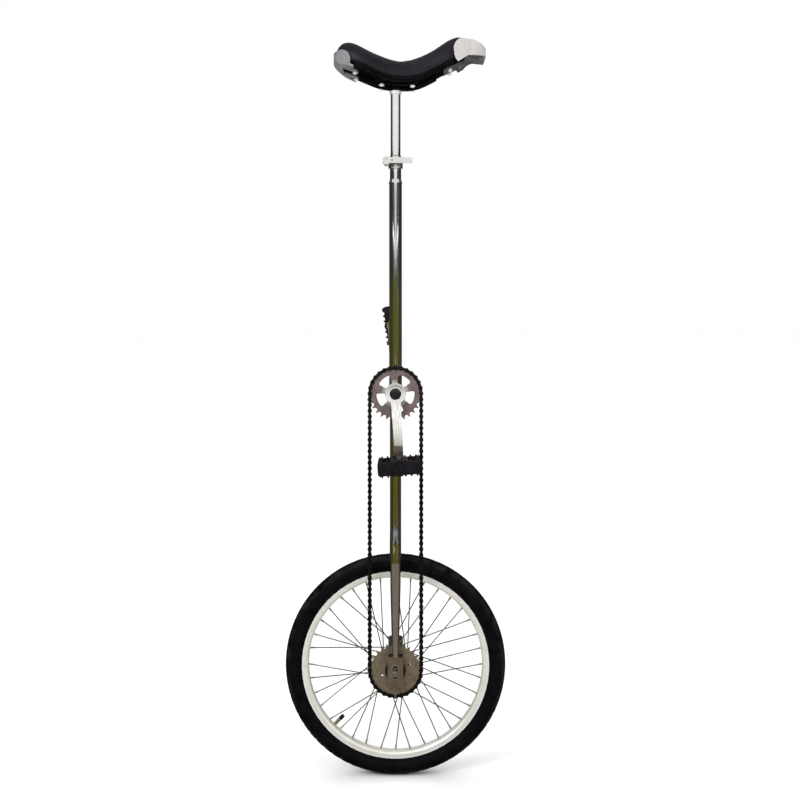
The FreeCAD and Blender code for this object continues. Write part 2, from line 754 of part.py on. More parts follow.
def adjuster_nut(side):
    """A hexagon nut with two small wings."""
    y = side * ADJUSTER_Y
    top = HOLDER_BOTTOM - ADJUSTER_CAP_HEIGHT
    height = 6.0
    wing_length = 10.5
    hexagon = hexagon_z(8.0, top - height, top, 0, y)
    wings = []
    for tilt in (30, 150):
        wing = block(0, wing_length, -1.1, 1.1, -1.8, 1.8)
        wing.rotate(ORIGIN, Y_AXIS, -tilt)
        wing.translate(V(0, y, top - height + 0.8))
        wings.append(wing)
    below_cap = block(-wing_length, wing_length, y - height, y + height, top - 2 * height, top)
    nut = fused(hexagon, *wings).common(below_cap)
    return nut.cut(cylinder_z(ADJUSTER_ROD_RADIUS, top - 2 * height, top, 0, y))


def hub_axle_parts():
    """The fixed axle and what is threaded on it."""
    cone_y = 20.5
    spacer_y = 36.0
    middle = cylinder_y(AXLE_RADIUS, -NUT_OUTER_Y, NUT_OUTER_Y, 0, WHEEL_Z)
    ends = cylinder_y(AXLE_END_RADIUS, -AXLE_END_Y, AXLE_END_Y, 0, WHEEL_Z)
    ends = ends.makeChamfer(1.0, [ends.Edges[0], ends.Edges[2]])
    export("hub_axle", fused(middle, ends))
    washers = []
    nuts = []
    cones = []
    for side in (RIGHT, LEFT):
        washers.append(ring_y(7.0, AXLE_RADIUS, side * EYE_OUTER_Y, side * WASHER_OUTER_Y, 0, WHEEL_Z))
        nut = hexagon_y(13.0, side * WASHER_OUTER_Y, side * NUT_OUTER_Y, 0, WHEEL_Z)
        nuts.append(nut.cut(cylinder_y(AXLE_RADIUS, side * WASHER_OUTER_Y, side * NUT_OUTER_Y, 0, WHEEL_Z)))
        cone = cylinder_y(7.8, side * cone_y, side * spacer_y, 0, WHEEL_Z)
        spacer = cylinder_y(8.5, side * spacer_y, side * HOLDER_INNER_Y, 0, WHEEL_Z)
        hole = cylinder_y(AXLE_RADIUS, side * cone_y, side * HOLDER_INNER_Y, 0, WHEEL_Z)
        cones.append(fused(cone, spacer).cut(hole))
    export("axle_washers", *washers)
    export("axle_nuts", *nuts)
    export("hub_cones", *cones)
    rings = [ball for side in (RIGHT, LEFT) for ball in balls(9, 10.4, 2.3, side * 25, WHEEL_Z)]
    export("hub_balls", *rings)


def clamp_band():
    """A split band with two ears behind the tube."""
    bore = SLEEVE_RADIUS + 0.05
    near_y = -15.5
    band = cylinder_z(16.2, CLAMP_BOTTOM, CLAMP_TOP)
    ears = cylinder_y(EAR_RADIUS, near_y, EAR_Y, LEVER_PIN_X, LEVER_Z)
    web = block(LEVER_PIN_X, 0, -7, 7, LEVER_Z - EAR_RADIUS, LEVER_Z + EAR_RADIUS)
    hole = cylinder_z(bore, CLAMP_BOTTOM, CLAMP_TOP)
    slot = block(2 * LEVER_PIN_X, 0, -EAR_SPLIT, EAR_SPLIT, CLAMP_BOTTOM, CLAMP_TOP)
    rod_hole = cylinder_y(SKEWER_RADIUS + 0.1, near_y, EAR_Y, LEVER_PIN_X, LEVER_Z)
    return fused(band, ears, web).cut([hole, slot, rod_hole])


def clamp_skewer():
    """The rod through both ears, with an eye that holds the lever's pin."""
    half_eye = 3.0
    rod = cylinder_y(SKEWER_RADIUS, LEVER_PIN_Y, EAR_Y + 10, LEVER_PIN_X, LEVER_Z)
    eye = cylinder_z(4.6, LEVER_Z - half_eye, LEVER_Z + half_eye, LEVER_PIN_X, LEVER_PIN_Y)
    pin_hole = cylinder_z(CAM_PIN_RADIUS + 0.05, LEVER_Z - half_eye, LEVER_Z + half_eye,
                          LEVER_PIN_X, LEVER_PIN_Y)
    return fused(rod, eye).cut(pin_hole)


def clamp_nut():
    """The round adjusting nut on the far ear."""
    outer_y = EAR_Y + 8.5
    nut = cylinder_y(EAR_RADIUS - 0.3, EAR_Y, outer_y, LEVER_PIN_X, LEVER_Z)
    nut = nut.makeChamfer(1.2, [nut.Edges[0]])
    return nut.cut(cylinder_y(SKEWER_RADIUS, EAR_Y, outer_y, LEVER_PIN_X, LEVER_Z))


def lever():
    """The quick-release lever: a forked cam head with a dished face, and a flat arm across the tube.

    The face stays far enough out to pass beside the clamp's ear when the lever is open."""
    half_height = 7.0
    low = LEVER_Z - half_height
    high = LEVER_Z + half_height
    head = cylinder_z(8.0, low, high, LEVER_PIN_X, LEVER_PIN_Y)
    arm_end = 38.0
    arm_y = LEVER_PIN_Y - 5.0
    arm_half = 2.5
    arm = block(LEVER_PIN_X, arm_end, arm_y - arm_half, arm_y + arm_half, low + 1, high)
    tip_corners = [e for e in arm.Edges if e.BoundBox.YLength > arm_half and e.BoundBox.XMin > arm_end - 1]
    arm = arm.makeFillet(3.0, tip_corners)
    face_y = arm_y - 4.5
    face = cylinder_y(9.5, face_y, face_y + 2.5, LEVER_PIN_X, LEVER_Z)
    recess = cylinder_y(4.5, face_y, face_y + 3, LEVER_PIN_X, LEVER_Z)
    slot = block(LEVER_PIN_X - 12, LEVER_PIN_X + 5.2, arm_y, LEVER_PIN_Y + 12,
                 LEVER_Z - 3.3, LEVER_Z + 3.3)
    pin_hole = cylinder_z(CAM_PIN_RADIUS, low, high, LEVER_PIN_X, LEVER_PIN_Y)
    eye_hole = cylinder_y(2.6, arm_y - arm_half, arm_y + arm_half, LEVER_PIN_X + 13, LEVER_Z + 0.5)
    return fused(head, arm, face).cut([slot, pin_hole, eye_hole, recess])


def cam_pin():
    """The pin that the lever turns on, a little shorter than the lever's head."""
    return cylinder_z(CAM_PIN_RADIUS, LEVER_Z - 6.8, LEVER_Z + 6.8, LEVER_PIN_X, LEVER_PIN_Y)


def frame():
    """Write the frame, the fixed axle and the seat clamp."""
    bottom_bracket()
    export("upper_tube", coped_tube(UPPER_TUBE_RADIUS, CRANK_Z, UPPER_TUBE_TOP))
    crown_top = ARCH_CENTRE_Z + LEG_Y
    lower = coped_tube(LOWER_TUBE_RADIUS, crown_top - 6, CRANK_Z)
    legs = {RIGHT: fork_leg(RIGHT), LEFT: fork_leg(LEFT)}
    arch = Part.makeTorus(LEG_Y, LEG_TOP_RADIUS, V(0, 0, ARCH_CENTRE_Z), X_AXIS)
    export("lower_tube", largest_solid(lower.cut(arch)))
    export("top_sleeve", top_sleeve())
    export("right_fork_leg", legs[RIGHT])
    export("left_fork_leg", legs[LEFT])
    export("right_axle_holder", axle_holder(RIGHT))
    export("left_axle_holder", axle_holder(LEFT))
    export("holder_bolts", *(holder_bolts(RIGHT) + holder_bolts(LEFT)))
    export("adjuster_eyes", adjuster_eye(RIGHT), adjuster_eye(LEFT))
    export("adjuster_caps", adjuster_cap(RIGHT), adjuster_cap(LEFT))
    export("adjuster_nuts", adjuster_nut(RIGHT), adjuster_nut(LEFT))
    hub_axle_parts()
    export("seat_clamp_band", clamp_band())
    export("clamp_skewer", clamp_skewer())
    export("clamp_nut", clamp_nut())
    export("qr_lever", lever())
    export("qr_cam_pin", cam_pin())


def largest_solid(shape):
    """The biggest solid of a shape, without any offcuts."""
    return max(shape.Solids, key=lambda solid: solid.Volume)


# ---------------------------------------------------------------- cranks and pedals

def square_end(side):
    """The square end of the spindle, which fills the hole in its crank."""
    half = SQUARE_HALF
    return block(-half, half, side * SQUARE_FROM_Y, side * SQUARE_TO_Y, -half, half)


def crank_axle():
    """A spindle with bearing shoulders, square ends and a threaded hole in each end."""
    parts = [cylinder_y(6.5, -26, 26)]
    holes = []
    for side in (RIGHT, LEFT):
        parts.append(cylinder_y(8.4, side * 17, side * SQUARE_FROM_Y))
        parts.append(square_end(side))
        holes.append(cylinder_y(CRANK_BOLT_RADIUS, side * (SQUARE_FROM_Y - 5), side * SQUARE_TO_Y))
    axle = fused(*parts).cut(holes)
    return turned(axle, CRANK_LEAN).translated(V(0, 0, CRANK_Z))


def crank_arm(side):
    """A tapered arm from the spindle's boss down to the pedal's eye.

    The right one carries the chainring on a neck behind a thin flange."""
    low_y = min(side * CRANK_INNER_Y, side * CRANK_OUTER_Y)
    past_face = side * (CRANK_OUTER_Y + 1)
    wide = 11.0
    narrow = 9.0
    neck_y = 42.0
    ring_face = SPROCKET_THICKNESS / 2 - CHAIN_Y
    outline = [V(-wide, low_y, 0), V(wide, low_y, 0),
               V(narrow, low_y, -CRANK_LENGTH), V(-narrow, low_y, -CRANK_LENGTH)]
    arm = polygon_face(outline).extrude(V(0, CRANK_OUTER_Y - CRANK_INNER_Y, 0))
    boss_start = ring_face if side == RIGHT else neck_y + 2.5
    boss = cylinder_y(17.0, side * boss_start, side * CRANK_OUTER_Y)
    eye = cylinder_y(12.5, side * CRANK_INNER_Y, side * CRANK_OUTER_Y, 0, -CRANK_LENGTH)
    parts = [boss, eye]
    if side == RIGHT:
        parts.append(cylinder_y(CHAINRING_BORE, side * neck_y, side * ring_face))
        parts.append(cylinder_y(22.5, side * ring_face, side * (ring_face + 2.5)))
    cuts = [
        square_end(side),
        cylinder_y(11.0, side * SQUARE_TO_Y, past_face),
        cylinder_y(PEDAL_THREAD_RADIUS, side * CRANK_INNER_Y, past_face, 0, -CRANK_LENGTH),
    ]
    return on_crankset(fused(arm, *parts).cut(cuts), side)


def on_crankset(shape, side):
    """Turn a shape drawn hanging from the spindle to its side's direction."""
    angle = CRANK_LEAN if side == RIGHT else CRANK_LEAN + 180
    return turned(shape, angle).translated(V(0, 0, CRANK_Z))


def pedal_centre(side):
    """The axis of one pedal, as a point with y of zero."""
    down = polar(CRANK_LENGTH, -90 + CRANK_LEAN, 0, CRANK_Z)
    return down if side == RIGHT else V(-down.x, 0, 2 * CRANK_Z - down.z)


def chainring():
    """The driving sprocket, with five round-cornered windows around its boss."""
    arms = 5
    first_window = 58.0
    window = chainring_window()
    windows = [turned(window, first_window + k * 360 / arms, CRANK_Z) for k in range(arms)]
    bore = cylinder_y(CHAINRING_BORE, CHAIN_Y - 5, CHAIN_Y + 5, 0, CRANK_Z)
    return toothed_disc(CRANK_Z).cut(windows + [bore])


def chainring_window():
    """A sector-shaped window centred on +X, with rounded corners."""
    inner = 23.0
    outer = 42.0
    spread = 22.0
    low_y = CHAIN_Y - 5

    def p(radius, angle):
        return polar(radius, angle, low_y, CRANK_Z)

    edges = [
        arc(p(inner, -spread), p(inner, 0), p(inner, spread)),
        line(p(inner, spread), p(outer, spread)),
        arc(p(outer, spread), p(outer, 0), p(outer, -spread)),
        line(p(outer, -spread), p(inner, -spread)),
    ]
    window = edges_face(edges).extrude(V(0, 10, 0))
    along_y = [e for e in window.Edges if e.BoundBox.YLength > 9]
    return window.makeFillet(4.0, along_y)


def crank_bolt(side):
    """The bolt that draws one crank onto its square."""
    shank = cylinder_y(CRANK_BOLT_RADIUS, side * (SQUARE_FROM_Y - 1), side * SQUARE_TO_Y)
    head = hexagon_y(14.0, side * SQUARE_TO_Y, side * (SQUARE_TO_Y + 6))
    return on_crankset(fused(shank, head), side)


def dust_cap(side):
    """A push-in cap with a low dome."""
    face = side * CRANK_OUTER_Y
    plug = cylinder_y(10.9, side * (CRANK_OUTER_Y - 1.5), face)
    dome_radius = 40.0
    rim_radius = 12.6
    rise = 2.4
    sphere = Part.makeSphere(dome_radius, V(0, face + side * (rise - dome_radius), 0))
    rim_disc = cylinder_y(rim_radius, face, face + side * rise)
    return on_crankset(fused(plug, sphere.common(rim_disc)), side)


def pedal_spindle(side):
    """Threaded end in the crank, a wide shoulder and a stepped shaft."""
    centre = pedal_centre(side)
    shoulder_y = CRANK_OUTER_Y + 4.5
    step_y = 98.0
    steps = [
        (PEDAL_THREAD_RADIUS, CRANK_INNER_Y, CRANK_OUTER_Y),
        (9.5, CRANK_OUTER_Y, shoulder_y),
        (7.0, shoulder_y, step_y),
        (4.8, step_y, PEDAL_CAP_Y - 1),
    ]
    parts = [cylinder_y(r, side * a, side * b, centre.x, centre.z) for r, a, b in steps]
    parts.append(hexagon_y(11.0, side * (PEDAL_CAP_Y - 6), side * (PEDAL_CAP_Y - 2), centre.x, centre.z))
    return fused(*parts)


def pedal_window(x_from, x_to):
    """A tall opening between the barrel and one gripping side."""
    end = PEDAL_FRAME + 3
    return block(x_from, x_to, PEDAL_INNER_Y + end, PEDAL_OUTER_Y - end, -PEDAL_THICKNESS, PEDAL_THICKNESS)


def pedal_body():
    """A plastic platform around a barrel, with grip teeth, drawn flat about the origin."""
    half = PEDAL_LENGTH / 2
    thick = PEDAL_THICKNESS / 2
    platform = block(-half, half, PEDAL_INNER_Y, PEDAL_OUTER_Y, -thick, thick)
    along_y = [e for e in platform.Edges if e.BoundBox.YLength > 50]
    platform = platform.makeFillet(5.0, along_y)
    barrel = cylinder_y(PEDAL_BARREL_RADIUS, PEDAL_INNER_Y - 3, PEDAL_OUTER_Y)
    near = PEDAL_BARREL_RADIUS + 2
    far = half - PEDAL_FRAME
    windows = [pedal_window(near, far), pedal_window(-far, -near)]
    body = fused(platform.cut(windows), barrel, *pedal_teeth())
    bore = cylinder_y(10.0, PEDAL_INNER_Y - 3, PEDAL_CAP_Y)
    mouth = cylinder_y(11.5, PEDAL_CAP_Y, PEDAL_OUTER_Y)
    return body.cut([bore, mouth])


def pedal_teeth():
    """The grip teeth all round the platform's edge."""
    per_end = 7
    per_side = 5
    edge = 5.0
    long_run = PEDAL_LENGTH - 2 * PEDAL_FRAME
    short_run = PEDAL_OUTER_Y - PEDAL_INNER_Y - 2 * edge
    teeth = []
    for k in range(per_end):
        x = k * long_run / (per_end - 1) - long_run / 2
        for y in (PEDAL_INNER_Y + edge, PEDAL_OUTER_Y - edge):
            teeth += grip_teeth(x, y)
    for k in range(per_side):
        y = PEDAL_INNER_Y + edge + (k + 1) * short_run / (per_side + 1)
        for x in (PEDAL_FRAME / 2 - PEDAL_LENGTH / 2, PEDAL_LENGTH / 2 - PEDAL_FRAME / 2):
            teeth += grip_teeth(x, y)
    return teeth


def grip_teeth(x, y):
    """A blunt cone on the upper and lower face of the platform."""
    base_radius = 3.2
    tip_radius = 1.4
    height = 4.8
    root = PEDAL_THICKNESS / 2 - 1
    up = Part.makeCone(base_radius, tip_radius, height, V(x, y, root), Z_AXIS)
    down = Part.makeCone(base_radius, tip_radius, height, V(x, y, -root), -Z_AXIS)
    return [up, down]


def on_pedal(shape, side):
    """Place a shape drawn on the left side of the origin on one pedal's axis."""
    tilt = RIGHT_PEDAL_TILT if side == RIGHT else LEFT_PEDAL_TILT
    base = mirrored(shape) if side == RIGHT else shape
    return turned(base, tilt).translated(pedal_centre(side))


def pedal_end_cap():
    """The push-in cap over the outer end of the pedal's bore."""
    plug = cylinder_y(11.4, PEDAL_CAP_Y, PEDAL_OUTER_Y)
    face = cylinder_y(13.5, PEDAL_OUTER_Y, PEDAL_OUTER_Y + 2.0)
    hollow = cylinder_y(8.5, PEDAL_CAP_Y, PEDAL_OUTER_Y - 2.5)
    return fused(plug, face).cut(hollow)


def cranks():
    """Write the crankset and both pedals."""
    export("crank_axle", crank_axle())
    export("right_crank", crank_arm(RIGHT))
    export("left_crank", crank_arm(LEFT))
    export("chainring", chainring())
    export("crank_bolts", crank_bolt(RIGHT), crank_bolt(LEFT))
    export("dust_caps", dust_cap(RIGHT), dust_cap(LEFT))
    export("pedal_spindles", pedal_spindle(RIGHT), pedal_spindle(LEFT))
    body = pedal_body()
    cap = pedal_end_cap()
    export("right_pedal_body", on_pedal(body, RIGHT))
    export("left_pedal_body", on_pedal(body, LEFT))
    export("right_pedal_end_cap", on_pedal(cap, RIGHT))
    export("left_pedal_end_cap", on_pedal(cap, LEFT))


# ---------------------------------------------------------------- seat

def saddle_section(x, half_width, underside, crown, inset):
    """A flat-bottomed, round-topped section across the saddle."""
    w = half_width - inset
    low = underside + inset
    tall = crown - inset - low
    right = [V(x, -0.94 * w, low), V(x, -w, low + 0.30 * tall), V(x, -0.72 * w, low + 0.80 * tall)]
    left = [V(x, -p.y, p.z) for p in reversed(right)]
    points = right + [V(x, 0, low + tall)] + left
    top = Part.BSplineCurve()
    top.interpolate(points)
    return Part.Wire([top.toShape(), line(points[-1], points[0])])


def saddle_loft(inset):
    """The padded body of the saddle, or the same body shrunk by an inset."""
    stations = [list(s) for s in SADDLE_STATIONS]
    stations[0][0] += inset
    stations[-1][0] -= inset
    sections = [saddle_section(x, w, low, high, inset) for x, w, low, high in stations]
    return Part.makeLoft(sections, True, False)


def underside_curve(drop):
    """The saddle's underside along its length, lowered, and led a little past both ends."""
    behind = V(-142, 0, 1603)
    ahead = V(168, 0, 1612)
    points = [behind] + [V(x, 0, low) for x, _, low, _ in SADDLE_STATIONS] + [ahead]
    curve = Part.BSplineCurve()
    curve.interpolate([p - V(0, 0, drop) for p in points])
    return curve.toShape()


def underside_layer(upper_drop, thickness):
    """A wide sheet that follows the underside between two distances below it."""
    top = underside_curve(upper_drop)
    bottom = underside_curve(upper_drop + thickness)
    ends = [line(a.Point, b.Point) for a, b in zip(top.Vertexes, bottom.Vertexes)]
    strip = Part.Face(Part.Wire([top, ends[1], bottom, ends[0]]))
    return strip.translated(V(0, -BESIDE_SADDLE, 0)).extrude(V(0, 2 * BESIDE_SADDLE, 0))


def room_above_plates():
    """Everything a little above the face that the plates under the base press on."""
    height = 40.0
    return underside_layer(PLATE_DROP - height, height)


def saddle_slab(x_from, x_to, y_from, y_to):
    """A block that is taller than the saddle."""
    return block(x_from, x_to, y_from, y_to, BELOW_SADDLE, ABOVE_SADDLE)


def underside_height(x):
    """The height of the saddle's underside at one place along it."""
    upright = line(V(x, 0, BELOW_SADDLE), V(x, 0, ABOVE_SADDLE))
    return underside_curve(0).distToShape(upright)[1][0][0].z


def seat_depth(x, reach=6.0):
    """How high a flat head can sit under the plate below the base without biting its slope."""
    lowest = min(underside_height(x - reach), underside_height(x), underside_height(x + reach))
    return lowest - PLATE_DROP - BRACKET_THICKNESS


def smooth_plan(points):
    """A tall prism inside a smooth outline from above, mirrored about the centreline."""
    right = [V(x, -y, BELOW_SADDLE) for x, y in points]
    left = [V(x, y, BELOW_SADDLE) for x, y in reversed(points) if y > 0]
    curve = Part.BSplineCurve()
    curve.interpolate(right + left)
    outline = Part.Wire([curve.toShape(), line(left[-1], right[0])])
    return Part.Face(outline).extrude(V(0, 0, ABOVE_SADDLE - BELOW_SADDLE))


def plan_prism(margin):
    """The saddle's outline from above, moved in by a margin, as a tall prism."""
    inner = SADDLE_STATIONS[1:-1]
    right = [V(x, margin - w, BELOW_SADDLE) for x, w, _, _ in inner]
    left = [V(x, w - margin, BELOW_SADDLE) for x, w, _, _ in reversed(inner)]
    sides = []
    for points in (right, left):
        curve = Part.BSplineCurve()
        curve.interpolate(points)
        sides.append(curve.toShape())
    outline = Part.Wire([sides[0], line(right[-1], left[0]), sides[1], line(left[-1], right[0])])
    return Part.Face(outline).extrude(V(0, 0, ABOVE_SADDLE - BELOW_SADDLE))


def screw_holes(places):
    """Straight holes through everything at the places of some screws."""
    return [cylinder_z(SCREW_HOLE_RADIUS, BELOW_SADDLE, ABOVE_SADDLE, x, y) for x, y in places]


def saddle_base():
    """A plastic plate that follows the underside, with holes for its fasteners."""
    plate = underside_layer(BASE_GAP, BASE_THICKNESS).common(plan_prism(BASE_MARGIN))
    return plate.cut(screw_holes(BRACKET_BOLTS + FRONT_SCREWS + REAR_SCREWS))


def plate_under_base(x_from, x_to, half_width):
    """A metal or plastic plate pressed against the underside of the base."""
    layer = underside_layer(PLATE_DROP, BRACKET_THICKNESS)
    return layer.common(saddle_slab(x_from, x_to, -half_width, half_width))


def seat_bracket():
    """A pressed plate under the saddle base, with a rib and a socket for the post."""
    rib_depth = 7.5
    rib_half_width = 3.0
    plate = plate_under_base(-46, 53, 30)
    corners = [e for e in plate.Edges if is_upright(e.BoundBox)]
    plate = plate.makeFillet(8.0, corners)
    collar = cylinder_z(13.4, COLLAR_BOTTOM, COLLAR_BOTTOM + 26).cut(room_above_plates())
    rib_sheet = underside_layer(PLATE_DROP, BRACKET_THICKNESS + rib_depth)
    rib = rib_sheet.common(saddle_slab(-84, 92, -rib_half_width, rib_half_width))
    socket = cylinder_z(POST_RADIUS, BELOW_SADDLE, POST_TOP + 0.5)
    return largest_solid(fused(plate, collar, rib).cut([socket] + screw_holes(BRACKET_BOLTS)))


def is_upright(box):
    """Whether an edge with this bounding box runs straight up."""
    return box.ZLength > 3 and box.XLength < 0.1 and box.YLength < 0.1


def seatpost():
    """A plain tube, open at its foot."""
    return tube_z(POST_RADIUS, POST_RADIUS - 1.5, POST_BOTTOM, POST_TOP)


def saddle_nuts():
    """Domed nuts on the bracket's four bolts."""
    height = 3.2
    nuts = []
    for x, y in BRACKET_BOLTS:
        top = seat_depth(x)
        low = top - height
        hexagon = hexagon_z(10.0, low, top, x, y)
        sphere = Part.makeSphere(8.0, V(x, y, top + 3.4))
        dome = sphere.common(cylinder_z(4.6, low - height, low, x, y))
        nuts.append(fused(hexagon, dome).cut(cylinder_z(STUD_RADIUS, low - 0.4, top, x, y)))
    return nuts


def saddle_bolts():
    """Studs moulded into the base, down through the bracket to their nuts."""
    studs = []
    for x, y in BRACKET_BOLTS:
        studs.append(cylinder_z(STUD_RADIUS, seat_depth(x) - 3.4, underside_height(x) - 2.5, x, y))
    return studs


def bumper_screws():
    """Round-headed screws that hold both bumpers to the base."""
    screws = []
    for x, y in FRONT_SCREWS + REAR_SCREWS:
        top = seat_depth(x)
        shank = cylinder_z(2.5, top, underside_height(x) - 2.5, x, y)
        head = Part.makeSphere(5.0, V(x, y, top)).common(cylinder_z(5.5, top - 3.2, top, x, y))
        screws.append(fused(shank, head))
    return screws


def rear_bumper_plan(offset):
    """The outline of the saddle's tail from above, moved out by an offset."""
    end, corner, side, waist = [station[:2] for station in SADDLE_STATIONS[:4]]
    points = [
        (waist[0] + 20, waist[1] + offset),
        (waist[0], waist[1] + offset),
        (side[0], side[1] + offset),
        (corner[0] - 0.5 * offset, corner[1] + 0.9 * offset),
        (end[0] - 0.9 * offset, end[1] + 0.5 * offset),
        (end[0] - 2 - offset, 0.0),
    ]
    return smooth_plan(points)


def across_saddle(edges):
    """A prism right across the saddle with the side outline that the edges enclose."""
    return edges_face(edges).extrude(V(0, 2 * BESIDE_SADDLE, 0))


def side_point(x, z):
    """A point of a side outline, beside the saddle."""
    return V(x, -BESIDE_SADDLE, z)


def rear_bumper():
    """A cap round the tail: D-shaped side walls, a lip under the base and two screw tabs."""
    back = -150.0
    low = 1560.0
    high = 1612.0
    p = side_point
    profile = across_saddle([
        line(p(back, low), p(-92, low)), line(p(-92, low), p(-92, 1572)),
        line(p(-92, 1572), p(-100, 1580)), arc(p(-100, 1580), p(-104, 1603), p(-120, high)),
        line(p(-120, high), p(back, high)), line(p(back, high), p(back, low)),
    ])
    outer = rear_bumper_plan(BUMPER_GAP + BUMPER_WALL)
    inner = rear_bumper_plan(BUMPER_GAP)
    floor = underside_layer(PLATE_DROP, BRACKET_THICKNESS)
    below = underside_layer(PLATE_DROP + BRACKET_THICKNESS, 60.0)
    walls = outer.cut(inner).common(profile).cut(below)
    middle = rear_bumper_plan(-16.0)
    behind_opening = saddle_slab(back, -92, -BESIDE_SADDLE, BESIDE_SADDLE)
    lip = floor.common(outer.cut(middle)).common(behind_opening)
    tabs = [floor.common(saddle_slab(-118, -83, y - 8, y + 8)) for _, y in REAR_SCREWS]
    return largest_solid(fused(walls, lip, *tabs).cut(screw_holes(REAR_SCREWS)))


def nose_plan(offset):
    """The outline of the front bumper from above, moved out by an offset."""
    points = [(112, 41.5), (128, 41.0), (146, 38.0), (165, 33.0), (184, 25.0), (196, 13.0), (200, 0.0)]
    return smooth_plan([(x + 0.9 * offset * (x > 180), y + offset * (y > 0)) for x, y in points])


def nose_profile(drop):
    """The front bumper's side outline, with its top lowered by a distance, across the saddle."""
    front = 208.0
    p = side_point
    return across_saddle([
        line(p(139, 1591), p(162, 1606.5)), line(p(162, 1606.5), p(front, 1609.5)),
        line(p(front, 1609.5), p(front, 1620 - drop)),
        arc(p(front, 1620 - drop), p(194, 1632 - drop), p(174, 1640.5 - drop)),
        line(p(174, 1640.5 - drop), p(146, 1643 - drop)),
        arc(p(146, 1643 - drop), p(133, 1633), p(130, 1612)), arc(p(130, 1612), p(132, 1600), p(139, 1591)),
    ])


def front_bumper():
    """A hollow cap round the nose, open below and where the padding comes through."""
    back = 100.0
    front = 210.0
    half = 60.0
    outer = nose_plan(BUMPER_WALL).common(nose_profile(0))
    inside = nose_plan(0)
    open_below = block(back, front, -half, half, BELOW_SADDLE, 1625)
    under_top = nose_profile(BUMPER_WALL).fuse(open_below)
    hollow = inside.common(block(back, front, -half, half, BELOW_SADDLE, 1638)).common(under_top)
    saddle_space = inside.common(saddle_slab(back, 160, -half, half))
    return largest_solid(outer.cut([hollow, saddle_space]))


def front_handle():
    """The grab bar under the nose, with a tab screwed to the base."""
    half_width = 18.0

    def p(x, z):
        return V(x, -half_width, z)

    edges = [
        line(p(136, 1586.5), p(141, 1579.5)), line(p(141, 1579.5), p(153, 1586)),
        arc(p(153, 1586), p(163, 1596), p(174, 1600)), line(p(174, 1600), p(197, 1597.5)),
        arc(p(197, 1597.5), p(200, 1603), p(196.5, 1608.5)), line(p(196.5, 1608.5), p(163, 1605.5)),
        line(p(163, 1605.5), p(152, 1598)), line(p(152, 1598), p(136, 1586.5)),
    ]
    bar = edges_face(edges).extrude(V(0, 2 * half_width, 0)).cut(room_above_plates())
    tab = plate_under_base(108, 150, 24)
    return largest_solid(fused(bar, tab).cut(screw_holes(FRONT_SCREWS)))


def seat():
    """Write the seat post, the saddle and what is screwed to it."""
    export("seatpost", seatpost())
    export("seat_bracket", seat_bracket())
    foam = saddle_loft(COVER_THICKNESS)
    export("saddle_foam", foam)
    export("saddle_cover", saddle_loft(0).cut(foam))
    export("saddle_base", saddle_base())
    export("saddle_bolts", *saddle_bolts())
    export("saddle_nuts", *saddle_nuts())
    export("front_bumper", front_bumper())
    export("front_handle", front_handle())
    export("rear_bumper", rear_bumper())
    export("bumper_screws", *bumper_screws())


os.makedirs("parts", exist_ok=True)
wheel()
chain()
frame()
cranks()
seat()
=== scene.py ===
import json
import math

import bmesh
import bpy
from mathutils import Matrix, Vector
from mathutils.bvhtree import BVHTree


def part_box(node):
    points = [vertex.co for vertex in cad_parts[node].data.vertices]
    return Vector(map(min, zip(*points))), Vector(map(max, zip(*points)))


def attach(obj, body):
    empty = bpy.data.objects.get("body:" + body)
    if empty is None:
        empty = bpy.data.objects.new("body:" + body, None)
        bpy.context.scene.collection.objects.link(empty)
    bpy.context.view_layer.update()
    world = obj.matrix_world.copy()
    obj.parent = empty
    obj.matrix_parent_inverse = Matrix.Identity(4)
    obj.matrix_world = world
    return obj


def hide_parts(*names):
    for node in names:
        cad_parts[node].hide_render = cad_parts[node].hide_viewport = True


# The looks of a tall chain-driven unicycle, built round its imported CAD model.
# Lengths are in metres. +X is forward, +Z is up, and the chain is on -Y.
# CAD nodes keep their shape and get better materials. The tyre, the saddle's cushion, the bead along
# the cushion's edge and the welds are new pieces.

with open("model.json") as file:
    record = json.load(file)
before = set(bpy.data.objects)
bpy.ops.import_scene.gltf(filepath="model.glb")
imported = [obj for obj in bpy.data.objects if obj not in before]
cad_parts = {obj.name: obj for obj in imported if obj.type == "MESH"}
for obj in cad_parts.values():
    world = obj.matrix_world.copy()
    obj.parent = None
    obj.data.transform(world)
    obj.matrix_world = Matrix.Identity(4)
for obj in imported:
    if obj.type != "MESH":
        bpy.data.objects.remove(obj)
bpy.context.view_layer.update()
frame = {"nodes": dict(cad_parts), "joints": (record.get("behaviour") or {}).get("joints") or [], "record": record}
NODES = frame["nodes"]
MM = 0.001


def joint_place(name):
    """Where a hinge is, in the row frame."""
    for joint in frame["joints"]:
        if joint["name"] == name:
            return Vector(joint["pos_m"])
    raise ValueError(name)


WHEEL_CENTRE = joint_place("wheel_spin")
CRANK_CENTRE = joint_place("crank_spin")


# ---------------------------------------------------------------- material nodes

def add_node(tree, kind, inputs=None, **settings):
    """Add a shader node, set its settings, and set or link its inputs."""
    made = tree.nodes.new("ShaderNode" + kind)
    for name, value in settings.items():
        setattr(made, name, value)
    for key, value in (inputs or {}).items():
        if isinstance(value, bpy.types.NodeSocket):
            tree.links.new(value, made.inputs[key])
        else:
            made.inputs[key].default_value = value
    return made


def new_material(name, **sockets):
    """A Principled material with plain values on its sockets."""
    material = bpy.data.materials.new(name)
    material.use_nodes = True
    shader = material.node_tree.nodes["Principled BSDF"]
    for key, value in sockets.items():
        shader.inputs[key.replace("_", " ")].default_value = value
    return material, material.node_tree, shader


def place(tree):
    """The place of a point on its own object, in metres."""
    return add_node(tree, "TexCoord").outputs["Object"]


